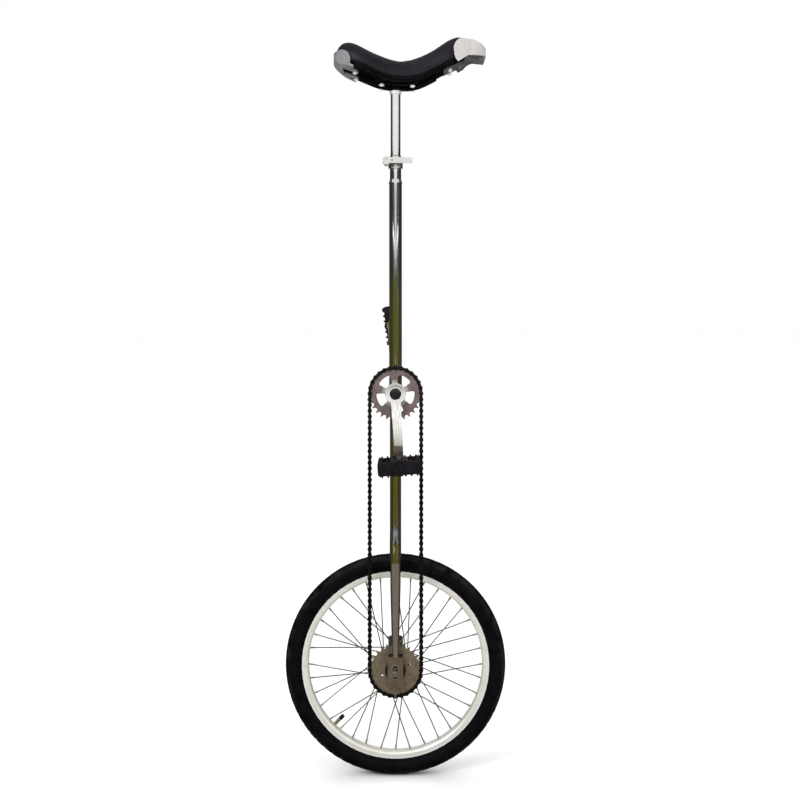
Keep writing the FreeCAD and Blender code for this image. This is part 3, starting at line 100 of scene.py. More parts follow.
def noise_value(tree, where, scale, detail=4.0, roughness=0.55):
    """Cloudy noise from 0 to 1."""
    inputs = {"Vector": where, "Scale": scale, "Detail": detail, "Roughness": roughness}
    return add_node(tree, "TexNoise", inputs).outputs["Fac"]


def cells(tree, where, scale, feature="F1"):
    """Distance to the nearest cell point, or to the nearest cell edge."""
    made = add_node(tree, "TexVoronoi", {"Vector": where, "Scale": scale}, feature=feature)
    return made.outputs["Distance"]


def spread(tree, value, low, high, low_out=0.0, high_out=1.0):
    """Map a range of a value to another range, and clamp it."""
    inputs = {"Value": value, "From Min": low, "From Max": high, "To Min": low_out, "To Max": high_out}
    return add_node(tree, "MapRange", inputs).outputs["Result"]


def blend(tree, factor, first, second):
    """Mix two colours."""
    made = add_node(tree, "Mix", data_type="RGBA")
    for index, value in ((0, factor), (6, first), (7, second)):
        if isinstance(value, bpy.types.NodeSocket):
            tree.links.new(value, made.inputs[index])
        else:
            made.inputs[index].default_value = value
    return made.outputs[2]


def rgb(red, green, blue):
    """An opaque colour, in linear light."""
    return (red, green, blue, 1.0)


def times(tree, first, second):
    """The product of two values."""
    return add_node(tree, "Math", {0: first, 1: second}, operation="MULTIPLY").outputs[0]


def plus(tree, first, second):
    """The sum of two values."""
    return add_node(tree, "Math", {0: first, 1: second}, operation="ADD").outputs[0]


def stretched(tree, where, x, y, z):
    """The place with its axes scaled, to draw a grain out along one of them."""
    made = add_node(tree, "Mapping", {"Vector": where, "Scale": (x, y, z)})
    return made.outputs["Vector"]


def raise_bump(tree, shader, height, distance, strength=1.0):
    """Give the shader a bump, added to any that it has already."""
    inputs = {"Height": height, "Distance": distance, "Strength": strength}
    normal = shader.inputs["Normal"]
    if normal.is_linked:
        inputs["Normal"] = normal.links[0].from_socket
    made = add_node(tree, "Bump", inputs)
    tree.links.new(made.outputs["Normal"], normal)


def colour_from(tree, shader, colour):
    """Link a colour to the shader."""
    tree.links.new(colour, shader.inputs["Base Color"])


def roughness_from(tree, shader, value):
    """Link a roughness to the shader."""
    tree.links.new(value, shader.inputs["Roughness"])


def wheel_radius(tree, where, centre):
    """How far a point is from an axle along Y."""
    inputs = {0: where, 1: tuple(centre)}
    offset = add_node(tree, "VectorMath", inputs, operation="SUBTRACT").outputs["Vector"]
    flat = add_node(tree, "VectorMath", {0: offset, 1: (1.0, 0.0, 1.0)}, operation="MULTIPLY")
    length = add_node(tree, "VectorMath", {0: flat.outputs["Vector"]}, operation="LENGTH")
    return length.outputs["Value"]


# ---------------------------------------------------------------- materials

def chrome(name, bright, dull, haze):
    """Plating with a soft haze, fine polishing lines and a few dark pits."""
    material, tree, shader = new_material(name, Metallic=1.0)
    where = place(tree)
    cloud = noise_value(tree, where, 14.0)
    fine = noise_value(tree, stretched(tree, where, 900.0, 900.0, 40.0), 1.0, 2.0)
    pits = spread(tree, cells(tree, where, 260.0), 0.06, 0.12, 1.0, 0.0)
    patchy = spread(tree, noise_value(tree, where, 22.0), 0.56, 0.68)
    pitted = times(tree, pits, patchy)
    plated = blend(tree, spread(tree, cloud, 0.35, 0.7), bright, dull)
    colour_from(tree, shader, blend(tree, pitted, plated, rgb(0.11, 0.08, 0.055)))
    smear = spread(tree, cloud, 0.3, 0.75, 0.4 * haze, haze)
    roughness_from(tree, shader, plus(tree, smear, times(tree, pitted, 0.5)))
    raise_bump(tree, shader, fine, 0.004 * MM, 0.5)
    raise_bump(tree, shader, pits, 0.03 * MM, -0.5)
    return material


def brushed(name, light, dark, roughness, grain=(1.0, 60.0, 1.0)):
    """Bare or zinc-plated metal with a fine directional grain and faint stains."""
    material, tree, shader = new_material(name, Metallic=1.0)
    where = place(tree)
    stain = spread(tree, noise_value(tree, where, 35.0, 6.0), 0.35, 0.72)
    lines = noise_value(tree, stretched(tree, where, *[40.0 * g for g in grain]), 14.0, 3.0)
    colour_from(tree, shader, blend(tree, stain, light, dark))
    roughness_from(tree, shader, spread(tree, lines, 0.3, 0.7, roughness * 0.75, roughness * 1.25))
    raise_bump(tree, shader, lines, 0.012 * MM, 0.6)
    return material


def worn_sprocket(name, centre, light, dark, bright_inside=0.0):
    """Old plating over brown steel, still bright inside a radius: rings, stains and worn specks."""
    material, tree, shader = new_material(name, Metallic=0.85, Specular_IOR_Level=0.4)
    where = place(tree)
    mottle = spread(tree, noise_value(tree, where, 60.0, 8.0, 0.7), 0.38, 0.66)
    rust = spread(tree, noise_value(tree, where, 24.0, 6.0, 0.65), 0.56, 0.72)
    plated = blend(tree, mottle, light, dark)
    stained = blend(tree, times(tree, rust, 0.6), plated, rgb(0.20, 0.10, 0.055))
    specks = spread(tree, cells(tree, where, 420.0), 0.05, 0.16, 1.0, 0.0)
    radius = wheel_radius(tree, where, centre)
    middle = spread(tree, radius, bright_inside, bright_inside + 6.0 * MM, 1.0, 0.0)
    silver = blend(tree, mottle, rgb(0.80, 0.79, 0.77), rgb(0.42, 0.41, 0.40))
    plated_middle = blend(tree, middle, stained, silver)
    colour_from(tree, shader, blend(tree, times(tree, specks, 0.5), plated_middle, rgb(0.5, 0.46, 0.40)))
    roughness_from(tree, shader, spread(tree, mottle, 0.0, 1.0, 0.42, 0.62))
    rings = noise_value(tree, add_node(tree, "CombineXYZ", {"X": radius}).outputs[0], 4200.0, 2.0)
    raise_bump(tree, shader, rings, 0.03 * MM, 0.5)
    raise_bump(tree, shader, mottle, 0.03 * MM, 0.4)
    return material


def satin_rim(name):
    """Pale satin alloy, turned round the wheel, with brake-free side walls and light dust."""
    material, tree, shader = new_material(name, Metallic=0.40, Specular_IOR_Level=0.5)
    where = place(tree)
    radius = wheel_radius(tree, where, WHEEL_CENTRE)
    rings = noise_value(tree, add_node(tree, "CombineXYZ", {"X": radius}).outputs[0], 2600.0, 3.0)
    dust = spread(tree, noise_value(tree, where, 18.0, 6.0), 0.4, 0.75)
    body = blend(tree, dust, rgb(0.88, 0.87, 0.81), rgb(0.76, 0.74, 0.67))
    low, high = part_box("rim")
    edge = (high.z - low.z) / 2
    lip = spread(tree, radius, edge - 4.5 * MM, edge - 3.0 * MM)
    colour_from(tree, shader, blend(tree, lip, body, rgb(0.97, 0.965, 0.94)))
    roughness_from(tree, shader, spread(tree, rings, 0.3, 0.7, 0.30, 0.44))
    raise_bump(tree, shader, rings, 0.015 * MM, 0.7)
    return material


def oiled_steel(name, light, dark):
    """Dark chain steel under old oil, with grey grit caught in it."""
    material, tree, shader = new_material(name, Metallic=0.7, Coat_Weight=0.15, Coat_Roughness=0.25)
    where = place(tree)
    grit = spread(tree, noise_value(tree, where, 420.0, 5.0, 0.7), 0.5, 0.72)
    colour_from(tree, shader, blend(tree, grit, dark, light))
    roughness_from(tree, shader, spread(tree, grit, 0.0, 1.0, 0.32, 0.7))
    raise_bump(tree, shader, grit, 0.05 * MM, 0.6)
    return material


def tyre_rubber(name):
    """Black tread rubber: fine moulded skin and grey dust in the grooves."""
    material, tree, shader = new_material(name, Specular_IOR_Level=0.06)
    where = place(tree)
    radius = wheel_radius(tree, where, WHEEL_CENTRE)
    low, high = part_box("tyre")
    crown = (high.z - low.z) / 2
    groove = spread(tree, radius, crown - 3.2 * MM, crown - 0.8 * MM, 1.0, 0.0)
    on_tread = spread(tree, radius, crown - 12.0 * MM, crown - 8.0 * MM)
    cloud = spread(tree, noise_value(tree, where, 40.0, 6.0), 0.35, 0.7)
    dust = times(tree, times(tree, groove, on_tread), cloud)
    base = blend(tree, cloud, rgb(0.0016, 0.0015, 0.0022), rgb(0.0042, 0.0038, 0.0060))
    colour_from(tree, shader, blend(tree, times(tree, dust, 0.35), base, rgb(0.050, 0.047, 0.044)))
    roughness_from(tree, shader, spread(tree, cloud, 0.0, 1.0, 0.50, 0.68))
    raise_bump(tree, shader, noise_value(tree, where, 1400.0, 3.0), 0.06 * MM, 0.6)
    return material


def vinyl(name):
    """Grained black vinyl, with a faint violet and blue painted sheen in its base colour."""
    material, tree, shader = new_material(
        name, Specular_IOR_Level=0.25, Sheen_Weight=0.03, Sheen_Roughness=0.4,
        Coat_Weight=0.04, Coat_Roughness=0.42)
    shader.inputs["Sheen Tint"].default_value = rgb(0.62, 0.55, 0.80)
    where = place(tree)
    # Painted sheen: violet and blue patches in the base colour stand in for reflections on the vinyl.
    painted_sheen_patches = spread(tree, noise_value(tree, where, 16.0, 3.0), 0.38, 0.62)
    painted_blue_sheen_patches = spread(tree, noise_value(tree, where, 9.0, 2.0), 0.4, 0.6)
    violet = blend(tree, painted_sheen_patches, rgb(0.0040, 0.0032, 0.0062), rgb(0.0120, 0.0082, 0.0160))
    colour_from(tree, shader, blend(tree, painted_blue_sheen_patches, violet, rgb(0.0024, 0.0036, 0.0064)))
    grain = cells(tree, where, 720.0, "DISTANCE_TO_EDGE")
    pores = spread(tree, grain, 0.0, 0.16)
    roughness_from(tree, shader, spread(tree, pores, 0.0, 1.0, 0.62, 0.44))
    raise_bump(tree, shader, pores, 0.10 * MM, 0.45)
    raise_bump(tree, shader, noise_value(tree, where, 55.0, 4.0), 0.5 * MM, 0.25)
    return material


def moulded(name, light, dark, roughness, grain_scale=900.0, coat=0.0, specular=0.3):
    """Moulded plastic or rubber: fine spark-eroded grain, slight blotches and scuffs."""
    material, tree, shader = new_material(
        name, Coat_Weight=coat, Coat_Roughness=0.15, Specular_IOR_Level=specular)
    where = place(tree)
    blotch = spread(tree, noise_value(tree, where, 45.0, 5.0), 0.35, 0.7)
    streaks = noise_value(tree, stretched(tree, where, 8.0, 8.0, 30.0), 9.0, 8.0, 0.75)
    scuff = spread(tree, streaks, 0.62, 0.7)
    body = blend(tree, blotch, dark, light)
    worn = blend(tree, 0.5, light, rgb(0.45, 0.45, 0.45))
    colour_from(tree, shader, blend(tree, times(tree, scuff, 0.25), body, worn))
    spread_rough = spread(tree, blotch, 0.0, 1.0, roughness * 0.85, roughness * 1.15)
    roughness_from(tree, shader, plus(tree, spread_rough, times(tree, scuff, 0.12)))
    raise_bump(tree, shader, noise_value(tree, where, grain_scale, 2.0), 0.05 * MM, 0.5)
    return material


def bracket_paint(name):
    """Black enamel on the bracket's plate, bright plating on the socket that grips the post."""
    material, tree, shader = new_material(name, Metallic=0.5, Specular_IOR_Level=0.2)
    where = place(tree)
    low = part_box("seat_bracket")[0]
    height = add_node(tree, "SeparateXYZ", {"Vector": where}).outputs["Z"]
    painted = spread(tree, height, low.z + 6.0 * MM, low.z + 8.0 * MM)
    chips = spread(tree, noise_value(tree, where, 120.0, 5.0), 0.66, 0.72, 0.0, 0.3)
    enamel = blend(tree, chips, rgb(0.003, 0.003, 0.0035), rgb(0.08, 0.08, 0.08))
    colour_from(tree, shader, blend(tree, painted, rgb(0.90, 0.89, 0.87), enamel))
    roughness_from(tree, shader, spread(tree, painted, 0.0, 1.0, 0.22, 0.45))
    raise_bump(tree, shader, noise_value(tree, where, 1200.0, 2.0), 0.03 * MM, 0.5)
    return material


def nickel(name):
    """Bright nickel plating on small screws, with faint scratches."""
    material, tree, shader = new_material(name, Metallic=0.35, Specular_IOR_Level=0.8)
    where = place(tree)
    scratch = noise_value(tree, stretched(tree, where, 600.0, 200.0, 600.0), 1.0, 3.0)
    colour_from(tree, shader, blend(tree, scratch, rgb(0.98, 0.98, 0.97), rgb(0.86, 0.86, 0.85)))
    roughness_from(tree, shader, spread(tree, scratch, 0.3, 0.7, 0.22, 0.34))
    raise_bump(tree, shader, scratch, 0.01 * MM, 0.5)
    return material


def foam(name):
    """Open-cell foam rubber."""
    material, tree, shader = new_material(name, Roughness=0.95)
    where = place(tree)
    holes = spread(tree, cells(tree, where, 650.0), 0.1, 0.5)
    colour_from(tree, shader, blend(tree, holes, rgb(0.10, 0.10, 0.09), rgb(0.34, 0.33, 0.30)))
    raise_bump(tree, shader, holes, 0.4 * MM, 0.8)
    return material


def make_materials():
    """One material for each slot of the record."""
    steel = brushed("zinc_steel", rgb(0.62, 0.61, 0.58), rgb(0.42, 0.41, 0.38), 0.34)
    return {
        "frame_chrome": chrome("frame_chrome_mat", rgb(0.80, 0.795, 0.77), rgb(0.62, 0.61, 0.57), 0.13),
        "post_chrome": chrome("post_chrome_mat", rgb(0.88, 0.88, 0.87), rgb(0.78, 0.78, 0.76), 0.09),
        "holder_steel": brushed("holder_steel_mat", rgb(0.52, 0.455, 0.37), rgb(0.33, 0.28, 0.22), 0.40,
                                (1.0, 1.0, 30.0)),
        "hardware_steel": steel,
        "dark_steel": brushed("dark_steel_mat", rgb(0.09, 0.09, 0.095), rgb(0.04, 0.04, 0.045), 0.42),
        "ball_steel": brushed("ball_steel_mat", rgb(0.78, 0.78, 0.78), rgb(0.68, 0.68, 0.68), 0.12),
        "clamp_alloy": brushed("clamp_alloy_mat", rgb(0.94, 0.935, 0.91), rgb(0.80, 0.79, 0.76), 0.26,
                               (30.0, 1.0, 1.0)),
        "rim_alloy": satin_rim("rim_alloy_mat"),
        "hub_alloy": brushed("hub_alloy_mat", rgb(0.76, 0.75, 0.72), rgb(0.58, 0.57, 0.54), 0.28),
        "crank_alloy": brushed("crank_alloy_mat", rgb(0.88, 0.87, 0.86), rgb(0.76, 0.75, 0.73), 0.15,
                               (1.0, 1.0, 0.1)),
        "spoke_steel": brushed("spoke_steel_mat", rgb(0.46, 0.46, 0.46), rgb(0.30, 0.30, 0.30), 0.32),
        "nipple_brass": brushed("nipple_brass_mat", rgb(0.74, 0.70, 0.60), rgb(0.55, 0.51, 0.42), 0.30),
        "chain_plates": oiled_steel("chain_plates_mat", rgb(0.030, 0.028, 0.027),
                                    rgb(0.005, 0.0048, 0.0048)),
        "chain_rollers": oiled_steel("chain_rollers_mat", rgb(0.20, 0.195, 0.19),
                                     rgb(0.06, 0.058, 0.056)),
        "tyre_rubber": tyre_rubber("tyre_rubber_mat"),
        "tube_rubber": moulded("tube_rubber_mat", rgb(0.035, 0.035, 0.035), rgb(0.02, 0.02, 0.02), 0.6),
        "tape_rubber": moulded("tape_rubber_mat", rgb(0.13, 0.12, 0.11), rgb(0.08, 0.075, 0.07), 0.7),
        "cap_plastic": moulded("cap_plastic_mat", rgb(0.008, 0.007, 0.009),
                               rgb(0.004, 0.0035, 0.0045), 0.5,
                               specular=0.15),
        "pedal_plastic": moulded("pedal_plastic_mat", rgb(0.010, 0.0065, 0.013),
                                 rgb(0.004, 0.0028, 0.0055),
                                 0.44, 700.0, specular=0.2),
        "dust_cap_plastic": moulded("dust_cap_mat", rgb(0.014, 0.014, 0.016),
                                    rgb(0.007, 0.007, 0.008), 0.25),
        "saddle_vinyl": vinyl("saddle_vinyl_mat"),
        "saddle_foam": foam("saddle_foam_mat"),
        "base_plastic": moulded("base_plastic_mat", rgb(0.0025, 0.0025, 0.003),
                                rgb(0.001, 0.001, 0.0012), 0.6,
                                specular=0.08),
        "bracket_steel": bracket_paint("bracket_steel_mat"),
        "front_plastic": moulded("front_plastic_mat", rgb(0.56, 0.54, 0.52),
                                 rgb(0.46, 0.445, 0.43), 0.34,
                                 1100.0, 0.15),
        "rear_plastic": moulded("rear_plastic_mat", rgb(0.25, 0.25, 0.26), rgb(0.18, 0.18, 0.19), 0.32,
                                1100.0, 0.15),
        "handle_plastic": moulded("handle_plastic_mat", rgb(0.11, 0.115, 0.11),
                                  rgb(0.055, 0.058, 0.055), 0.45),
    }


def own_materials(materials):
    """Nodes that differ from the rest of their slot: each sprocket is turned about its own centre."""
    screws = nickel("screw_nickel_mat")
    return {
        "bumper_screws": screws,
        "saddle_bolts": screws,
        "saddle_nuts": screws,
        "qr_cam_pin": materials["dark_steel"],
        "chainring": worn_sprocket("chainring_mat", CRANK_CENTRE,
                                   rgb(0.36, 0.285, 0.285), rgb(0.19, 0.145, 0.14), 26.0 * MM),
        "hub_sprocket": worn_sprocket("hub_sprocket_mat", WHEEL_CENTRE,
                                      rgb(0.42, 0.355, 0.265), rgb(0.26, 0.215, 0.155)),
    }


def dress_nodes(materials):
    """Give every CAD node the material of its slot."""
    own = own_materials(materials)
    for entry in frame["record"]["subparts"]:
        node = NODES[entry["node"]]
        material = own.get(entry["node"]) or materials[entry["material_slot"]]
        for slot in node.material_slots:
            slot.material = material


# ---------------------------------------------------------------- mesh helpers

def mesh_object(name, points, faces, material):
    """A smooth-shaded object from points and faces."""
    mesh = bpy.data.meshes.new(name)
    mesh.from_pydata([tuple(p) for p in points], [], faces)
    mesh.materials.append(material)
    made = bpy.data.objects.new(name, mesh)
    bpy.context.scene.collection.objects.link(made)
    for polygon in mesh.polygons:
        polygon.use_smooth = True
    return made


def grid_faces(rows, columns, close_rows, close_columns):
    """Quads between rows and columns of points, wrapped round where asked."""
    faces = []
    for i in range(rows if close_rows else rows - 1):
        for j in range(columns if close_columns else columns - 1):
            a = i * columns + j
            b = i * columns + (j + 1) % columns
            c = ((i + 1) % rows) * columns + (j + 1) % columns
            d = ((i + 1) % rows) * columns + j
            faces.append((a, b, c, d))
    return faces


def circle_through(a, b, c):
    """Centre of the circle through three points of a plane."""
    ax, ay, bx, by, cx, cy = a[0], a[1], b[0], b[1], c[0], c[1]
    d = 2 * (ax * (by - cy) + bx * (cy - ay) + cx * (ay - by))
    a2, b2, c2 = ax * ax + ay * ay, bx * bx + by * by, cx * cx + cy * cy
    x = (a2 * (by - cy) + b2 * (cy - ay) + c2 * (ay - by)) / d
    y = (a2 * (cx - bx) + b2 * (ax - cx) + c2 * (bx - ax)) / d
    return x, y


def arc_points(a, b, c, count):
    """Evenly spaced points of the arc from a through b to c, without the last."""
    x, y = circle_through(a, b, c)
    radius = math.hypot(a[0] - x, a[1] - y)
    angles = [math.atan2(p[1] - y, p[0] - x) for p in (a, b, c)]
    start, middle, end = angles
    turn = (end - start) % (2 * math.pi)
    if (middle - start) % (2 * math.pi) > turn:
        turn -= 2 * math.pi
    steps = [start + turn * k / count for k in range(count)]
    return [(x + radius * math.cos(t), y + radius * math.sin(t)) for t in steps]


def pipe(name, path, radius, material, sides=10, closed=False, ripple=0.0, ripples=0):
    """A round bead along a path, with optional ripples along its length."""
    points = []
    count = len(path)
    for i, point in enumerate(path):
        ahead = path[(i + 1) % count] if closed or i < count - 1 else path[i]
        behind = path[i - 1] if closed or i > 0 else path[i]
        along = (ahead - behind).normalized()
        side = along.cross(Vector((0.0, 0.3, 1.0))).normalized()
        up = side.cross(along).normalized()
        swell = 1.0 + ripple * math.sin(2 * math.pi * ripples * i / count)
        for k in range(sides):
            t = 2 * math.pi * k / sides
            points.append(point + (side * math.cos(t) + up * math.sin(t)) * radius * swell)
    faces = grid_faces(count, sides, closed, True)
    if not closed:
        faces.append(tuple(range(sides))[::-1])
        faces.append(tuple(range((count - 1) * sides, count * sides)))
    return mesh_object(name, points, faces, material)


# ---------------------------------------------------------------- tyre

TREAD_PITCHES = 66
STEPS_PER_PITCH = 8

# The tyre's section: drops are from its crown, and the inset is from its widest place
BEAD_SHARE = 0.481
BEAD_DROP = 36.9 * MM
WIDEST_DROP = 21.0 * MM
SHOULDER_INSET = 8.5 * MM
SHOULDER_DROP = 5.0 * MM
TOE_SHARE = 0.70
TOE_DROP = 7.0 * MM
SIDE_STEPS = 14
CAP_STEPS = 30

# The tread: distances are from the tyre's centre line, and shares are of a pitch round it
RIB_EDGE = 2.6 * MM
GROOVE_EDGE = 4.4 * MM
RING_FROM = 9.0 * MM
RING_TO = 10.3 * MM
TREAD_EDGE = 17.5 * MM
SLANT_WIDTH = 13.0 * MM
SLANT_SHARE = 0.55
NOTCH_SHARE = 0.2
CUT_SHARE = 0.26
NOTCH_DEPTH = 0.25 * MM
GROOVE_DEPTH = 1.7 * MM
RING_DEPTH = 1.2 * MM
CUT_DEPTH = 1.9 * MM

# The fine rings above the bead
RIBBED_HEIGHT = 6.0 * MM
RIB_HEIGHT = 0.35 * MM
RIB_WIDTH = 1.6 * MM
SHARP_ANGLE = 38.0


def tyre_profile():
    """The outer skin of the tyre from one bead to the other: y and distance from the axle."""
    low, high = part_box("tyre")
    crown = (high.z - low.z) / 2
    half = (high.y - low.y) / 2
    bead = (half * BEAD_SHARE, crown - BEAD_DROP)
    widest = (half, crown - WIDEST_DROP)
    shoulder = (half - SHOULDER_INSET, crown - SHOULDER_DROP)
    top = (0.0, crown)

    def flip(p):
        return (-p[0], p[1])

    side = arc_points(bead, widest, shoulder, SIDE_STEPS)
    cap = arc_points(shoulder, top, flip(shoulder), CAP_STEPS)
    other = arc_points(flip(shoulder), flip(widest), flip(bead), SIDE_STEPS)
    return side + cap + other + [flip(bead)]


def tread_depth(across, turn):
    """How deep the tread is cut at a place across the tyre, at a fraction of a pitch round it."""
    distance = abs(across)
    if distance > TREAD_EDGE:
        return 0.0
    if distance < RIB_EDGE:
        return NOTCH_DEPTH if (turn * 2) % 1.0 < NOTCH_SHARE else 0.0
    if distance < GROOVE_EDGE:
        return GROOVE_DEPTH
    if RING_FROM < distance < RING_TO:
        return RING_DEPTH
    side_shift = 0.5 if across > 0 else 0.0
    slant = (distance - GROOVE_EDGE) / SLANT_WIDTH * SLANT_SHARE
    phase = (turn + side_shift + slant) % 1.0
    return CUT_DEPTH if phase < CUT_SHARE else 0.0


def build_tyre(material):
    """A tyre with a notched centre rib, grooves on both sides of it and slanted shoulder blocks."""
    profile = tyre_profile()
    inner = [(p[0] * TOE_SHARE, p[1] - TOE_DROP) for p in (profile[-1], profile[0])]
    count = len(profile)
    columns = count + len(inner)
    turns = TREAD_PITCHES * STEPS_PER_PITCH
    rib_limit = profile[0][1] + RIBBED_HEIGHT
    points = []
    for i in range(turns):
        angle = 2 * math.pi * i / turns
        turn = i / STEPS_PER_PITCH
        for j, (across, radius) in enumerate(profile + inner):
            shifted = radius - (tread_depth(across, turn) if j < count else 0.0)
            if j < count and radius < rib_limit:
                shifted += rib_rise(radius)
            outwards = Vector((math.cos(angle), 0.0, math.sin(angle)))
            points.append(WHEEL_CENTRE + outwards * shifted + Vector((0.0, across, 0.0)))
    tyre = mesh_object("tyre_tread", points, grid_faces(turns, columns, True, True), material)
    fix_normals(tyre)
    shade_by_angle(tyre, SHARP_ANGLE)
    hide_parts("tyre")
    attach(tyre, "wheel")


def rib_rise(radius):
    """How far the fine rings above the bead stand out."""
    return RIB_HEIGHT if int(radius / RIB_WIDTH) % 2 else 0.0


def fix_normals(piece):
    """Turn all faces outwards."""
    mesh = bmesh.new()
    mesh.from_mesh(piece.data)
    bmesh.ops.recalc_face_normals(mesh, faces=mesh.faces)
    mesh.to_mesh(piece.data)
    mesh.free()


def shade_by_angle(piece, degrees):
    """Smooth shading, broken at edges sharper than an angle."""
    piece.data.shade_smooth()
    piece.data.set_sharp_from_angle(angle=math.radians(degrees))


# ---------------------------------------------------------------- saddle

# The cushion: how it is remeshed and smoothed, and the part of it that the cloth run holds still
VOXEL = 4.5 * MM
RELAX_FACTOR = 0.5
RELAX_STEPS = 4
HELD_NORMAL = -0.35

# How it swells: its limits, and how fast the limit grows away from a bumper
SWELL_FRAMES = 20
SWELL_PRESSURE = 4.0
CLOTH_QUALITY = 5
SWELL_LEAST = 0.3 * MM
SWELL_MOST = 4.5 * MM
SWELL_SLOPE = 0.11
REAR_OVERLAP = 30.0 * MM
FRONT_OVERLAP = 8.0 * MM

# The bead: where rays look for the cover's lower edge, and the bead's own size
RAY_START_Z = 1.4
RAY_START_Y = 200.0 * MM
PROBE_Y = 26.0 * MM
EDGE_RISE = 4.5 * MM
TRIM_PROUD = 0.2 * MM
TRIM_RADIUS = 1.5 * MM
TRIM_POINTS = 90
TRIM_REAR_REACH = 6.0 * MM
TRIM_FRONT_REACH = 2.0 * MM


def merged_copy(name, node_names, material):
    """One new object holding copies of several CAD nodes' meshes."""
    mesh = bmesh.new()
    for node_name in node_names:
        mesh.from_mesh(NODES[node_name].data)
    data = bpy.data.meshes.new(name)
    mesh.to_mesh(data)
    mesh.free()
    data.materials.clear()
    data.materials.append(material)
    made = bpy.data.objects.new(name, data)
    bpy.context.scene.collection.objects.link(made)
    return made


def apply_modifiers(piece):
    """Replace a piece's mesh by what its modifiers make of it."""
    graph = bpy.context.evaluated_depsgraph_get()
    data = bpy.data.meshes.new_from_object(piece.evaluated_get(graph))
    piece.modifiers.clear()
    piece.data = data


def remesh(piece, size):
    """Rebuild a piece as one closed skin of even quads."""
    modifier = piece.modifiers.new("remesh", "REMESH")
    modifier.mode = "VOXEL"
    modifier.voxel_size = size
    apply_modifiers(piece)


def swell_limit(x, ends):
    """How far the cushion may swell: fully in the middle, hardly under the two bumpers."""
    rear, front = ends
    inside = min(x - rear, front - x)
    return max(SWELL_LEAST, min(SWELL_MOST, SWELL_SLOPE * inside))


def inflate(piece, held, ends):
    """Blow the skin up with cloth, hold its underside, and cap how far it moves."""
    before = [v.co.copy() for v in piece.data.vertices]
    group = piece.vertex_groups.new(name="held")
    group.add(held, 1.0, "REPLACE")
    cloth = piece.modifiers.new("cloth", "CLOTH")
    cloth.settings.vertex_group_mass = "held"
    cloth.settings.use_pressure = True
    cloth.settings.uniform_pressure_force = SWELL_PRESSURE
    cloth.settings.effector_weights.gravity = 0.0
    cloth.settings.quality = CLOTH_QUALITY
    for step in range(1, SWELL_FRAMES + 1):
        bpy.context.scene.frame_set(step)
    apply_modifiers(piece)
    bpy.context.scene.frame_set(1)
    for vertex, start in zip(piece.data.vertices, before):
        moved = vertex.co - start
        limit = swell_limit(start.x, ends)
        if moved.length > limit:
            vertex.co = start + moved.normalized() * limit
    piece.vertex_groups.clear()


def relax(piece, factor, repeat):
    """Smooth the steps out of a piece's mesh."""
    modifier = piece.modifiers.new("relax", "SMOOTH")
    modifier.factor = factor
    modifier.iterations = repeat
    apply_modifiers(piece)


def bumper_ends():
    """Where the cushion stops being covered by the rear bumper and starts under the front one."""
    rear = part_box("rear_bumper")[0].x + REAR_OVERLAP
    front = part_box("front_bumper")[0].x + FRONT_OVERLAP
    return rear, front


def build_cushion(materials):
    """The padded cover: a crowned closed skin over the foam."""
    cushion = merged_copy("saddle_cushion", ["saddle_cover", "saddle_foam"], materials["saddle_vinyl"])
    remesh(cushion, VOXEL)
    relax(cushion, RELAX_FACTOR, RELAX_STEPS)
    held = [v.index for v in cushion.data.vertices if v.normal.z < HELD_NORMAL]
    inflate(cushion, held, bumper_ends())
    modifier = cushion.modifiers.new("subdivide", "SUBSURF")
    modifier.levels = 1
    apply_modifiers(cushion)
    cushion.data.materials.clear()
    cushion.data.materials.append(materials["saddle_vinyl"])
    cushion.data.shade_smooth()
    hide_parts("saddle_cover", "saddle_foam")
    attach(cushion, "seat")
    return cushion


def edge_path(skin, side, x_from, x_to, count):
    """The lower outer edge of the cover along one side."""
    path = []
    for k in range(count):
        x = x_from + (x_to - x_from) * k / (count - 1)
        bottom = skin.ray_cast(Vector((x, side * PROBE_Y, RAY_START_Z)), Vector((0, 0, 1)))[0]
        height = bottom.z + EDGE_RISE
        hit = skin.ray_cast(Vector((x, side * RAY_START_Y, height)), Vector((0, -side, 0)))[0]
        if hit is not None:
            path.append(hit + Vector((0, side * TRIM_PROUD, 0)))
    return path


def build_edge_trim(cushion, material):
    """A soft plastic bead that holds the cover's lower edge along each side."""
    graph = bpy.context.evaluated_depsgraph_get()
    skin = BVHTree.FromObject(cushion, graph)
    rear, front = bumper_ends()
    for side, label in ((-1, "right"), (1, "left")):
        path = edge_path(skin, side, rear - TRIM_REAR_REACH, front - TRIM_FRONT_REACH, TRIM_POINTS)
        trim = pipe("edge_trim_" + label, path, TRIM_RADIUS, material)
        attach(trim, "seat")


# ---------------------------------------------------------------- welds

WELD_RADIUS = 1.5 * MM
WELD_RIPPLE = 0.10
WELD_RIPPLES = 32


def saddle_curve(tube_radius, shell_radius, upwards, count=96):
    """Where a vertical tube meets the crank shell that crosses it."""
    path = []
    for k in range(count):
        angle = 2 * math.pi * k / count
        x = tube_radius * math.cos(angle)
        rise = math.sqrt(shell_radius ** 2 - x ** 2)
        path.append(Vector((x, tube_radius * math.sin(angle), CRANK_CENTRE.z + upwards * rise)))
    return path


def half_width(node, axis):
    """Half of a node's size along an axis, counted from 0 for X."""
    low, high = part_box(node)
    return (high[axis] - low[axis]) / 2


def build_welds(material):
    """Rippled beads where the two tubes meet the crank shell."""
    shell = half_width("bottom_bracket_shell", 0)
    for node, upwards in (("upper_tube", 1), ("lower_tube", -1)):
        path = saddle_curve(half_width(node, 0), shell, upwards)
        bead = pipe("weld_" + node, path, WELD_RADIUS, material,
                    closed=True, ripple=WELD_RIPPLE, ripples=WELD_RIPPLES)
        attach(bead, "frame")


# ---------------------------------------------------------------- stage

# How bright the room is to the object, and the strength and spread of the sky overhead
ROOM_LIGHT = 0.32
SKY_LIGHT = 2.5
SKY_SPREAD = math.radians(110)

FLOOR_REACH = 900.0
OLIVE = rgb(0.105, 0.108, 0.014)

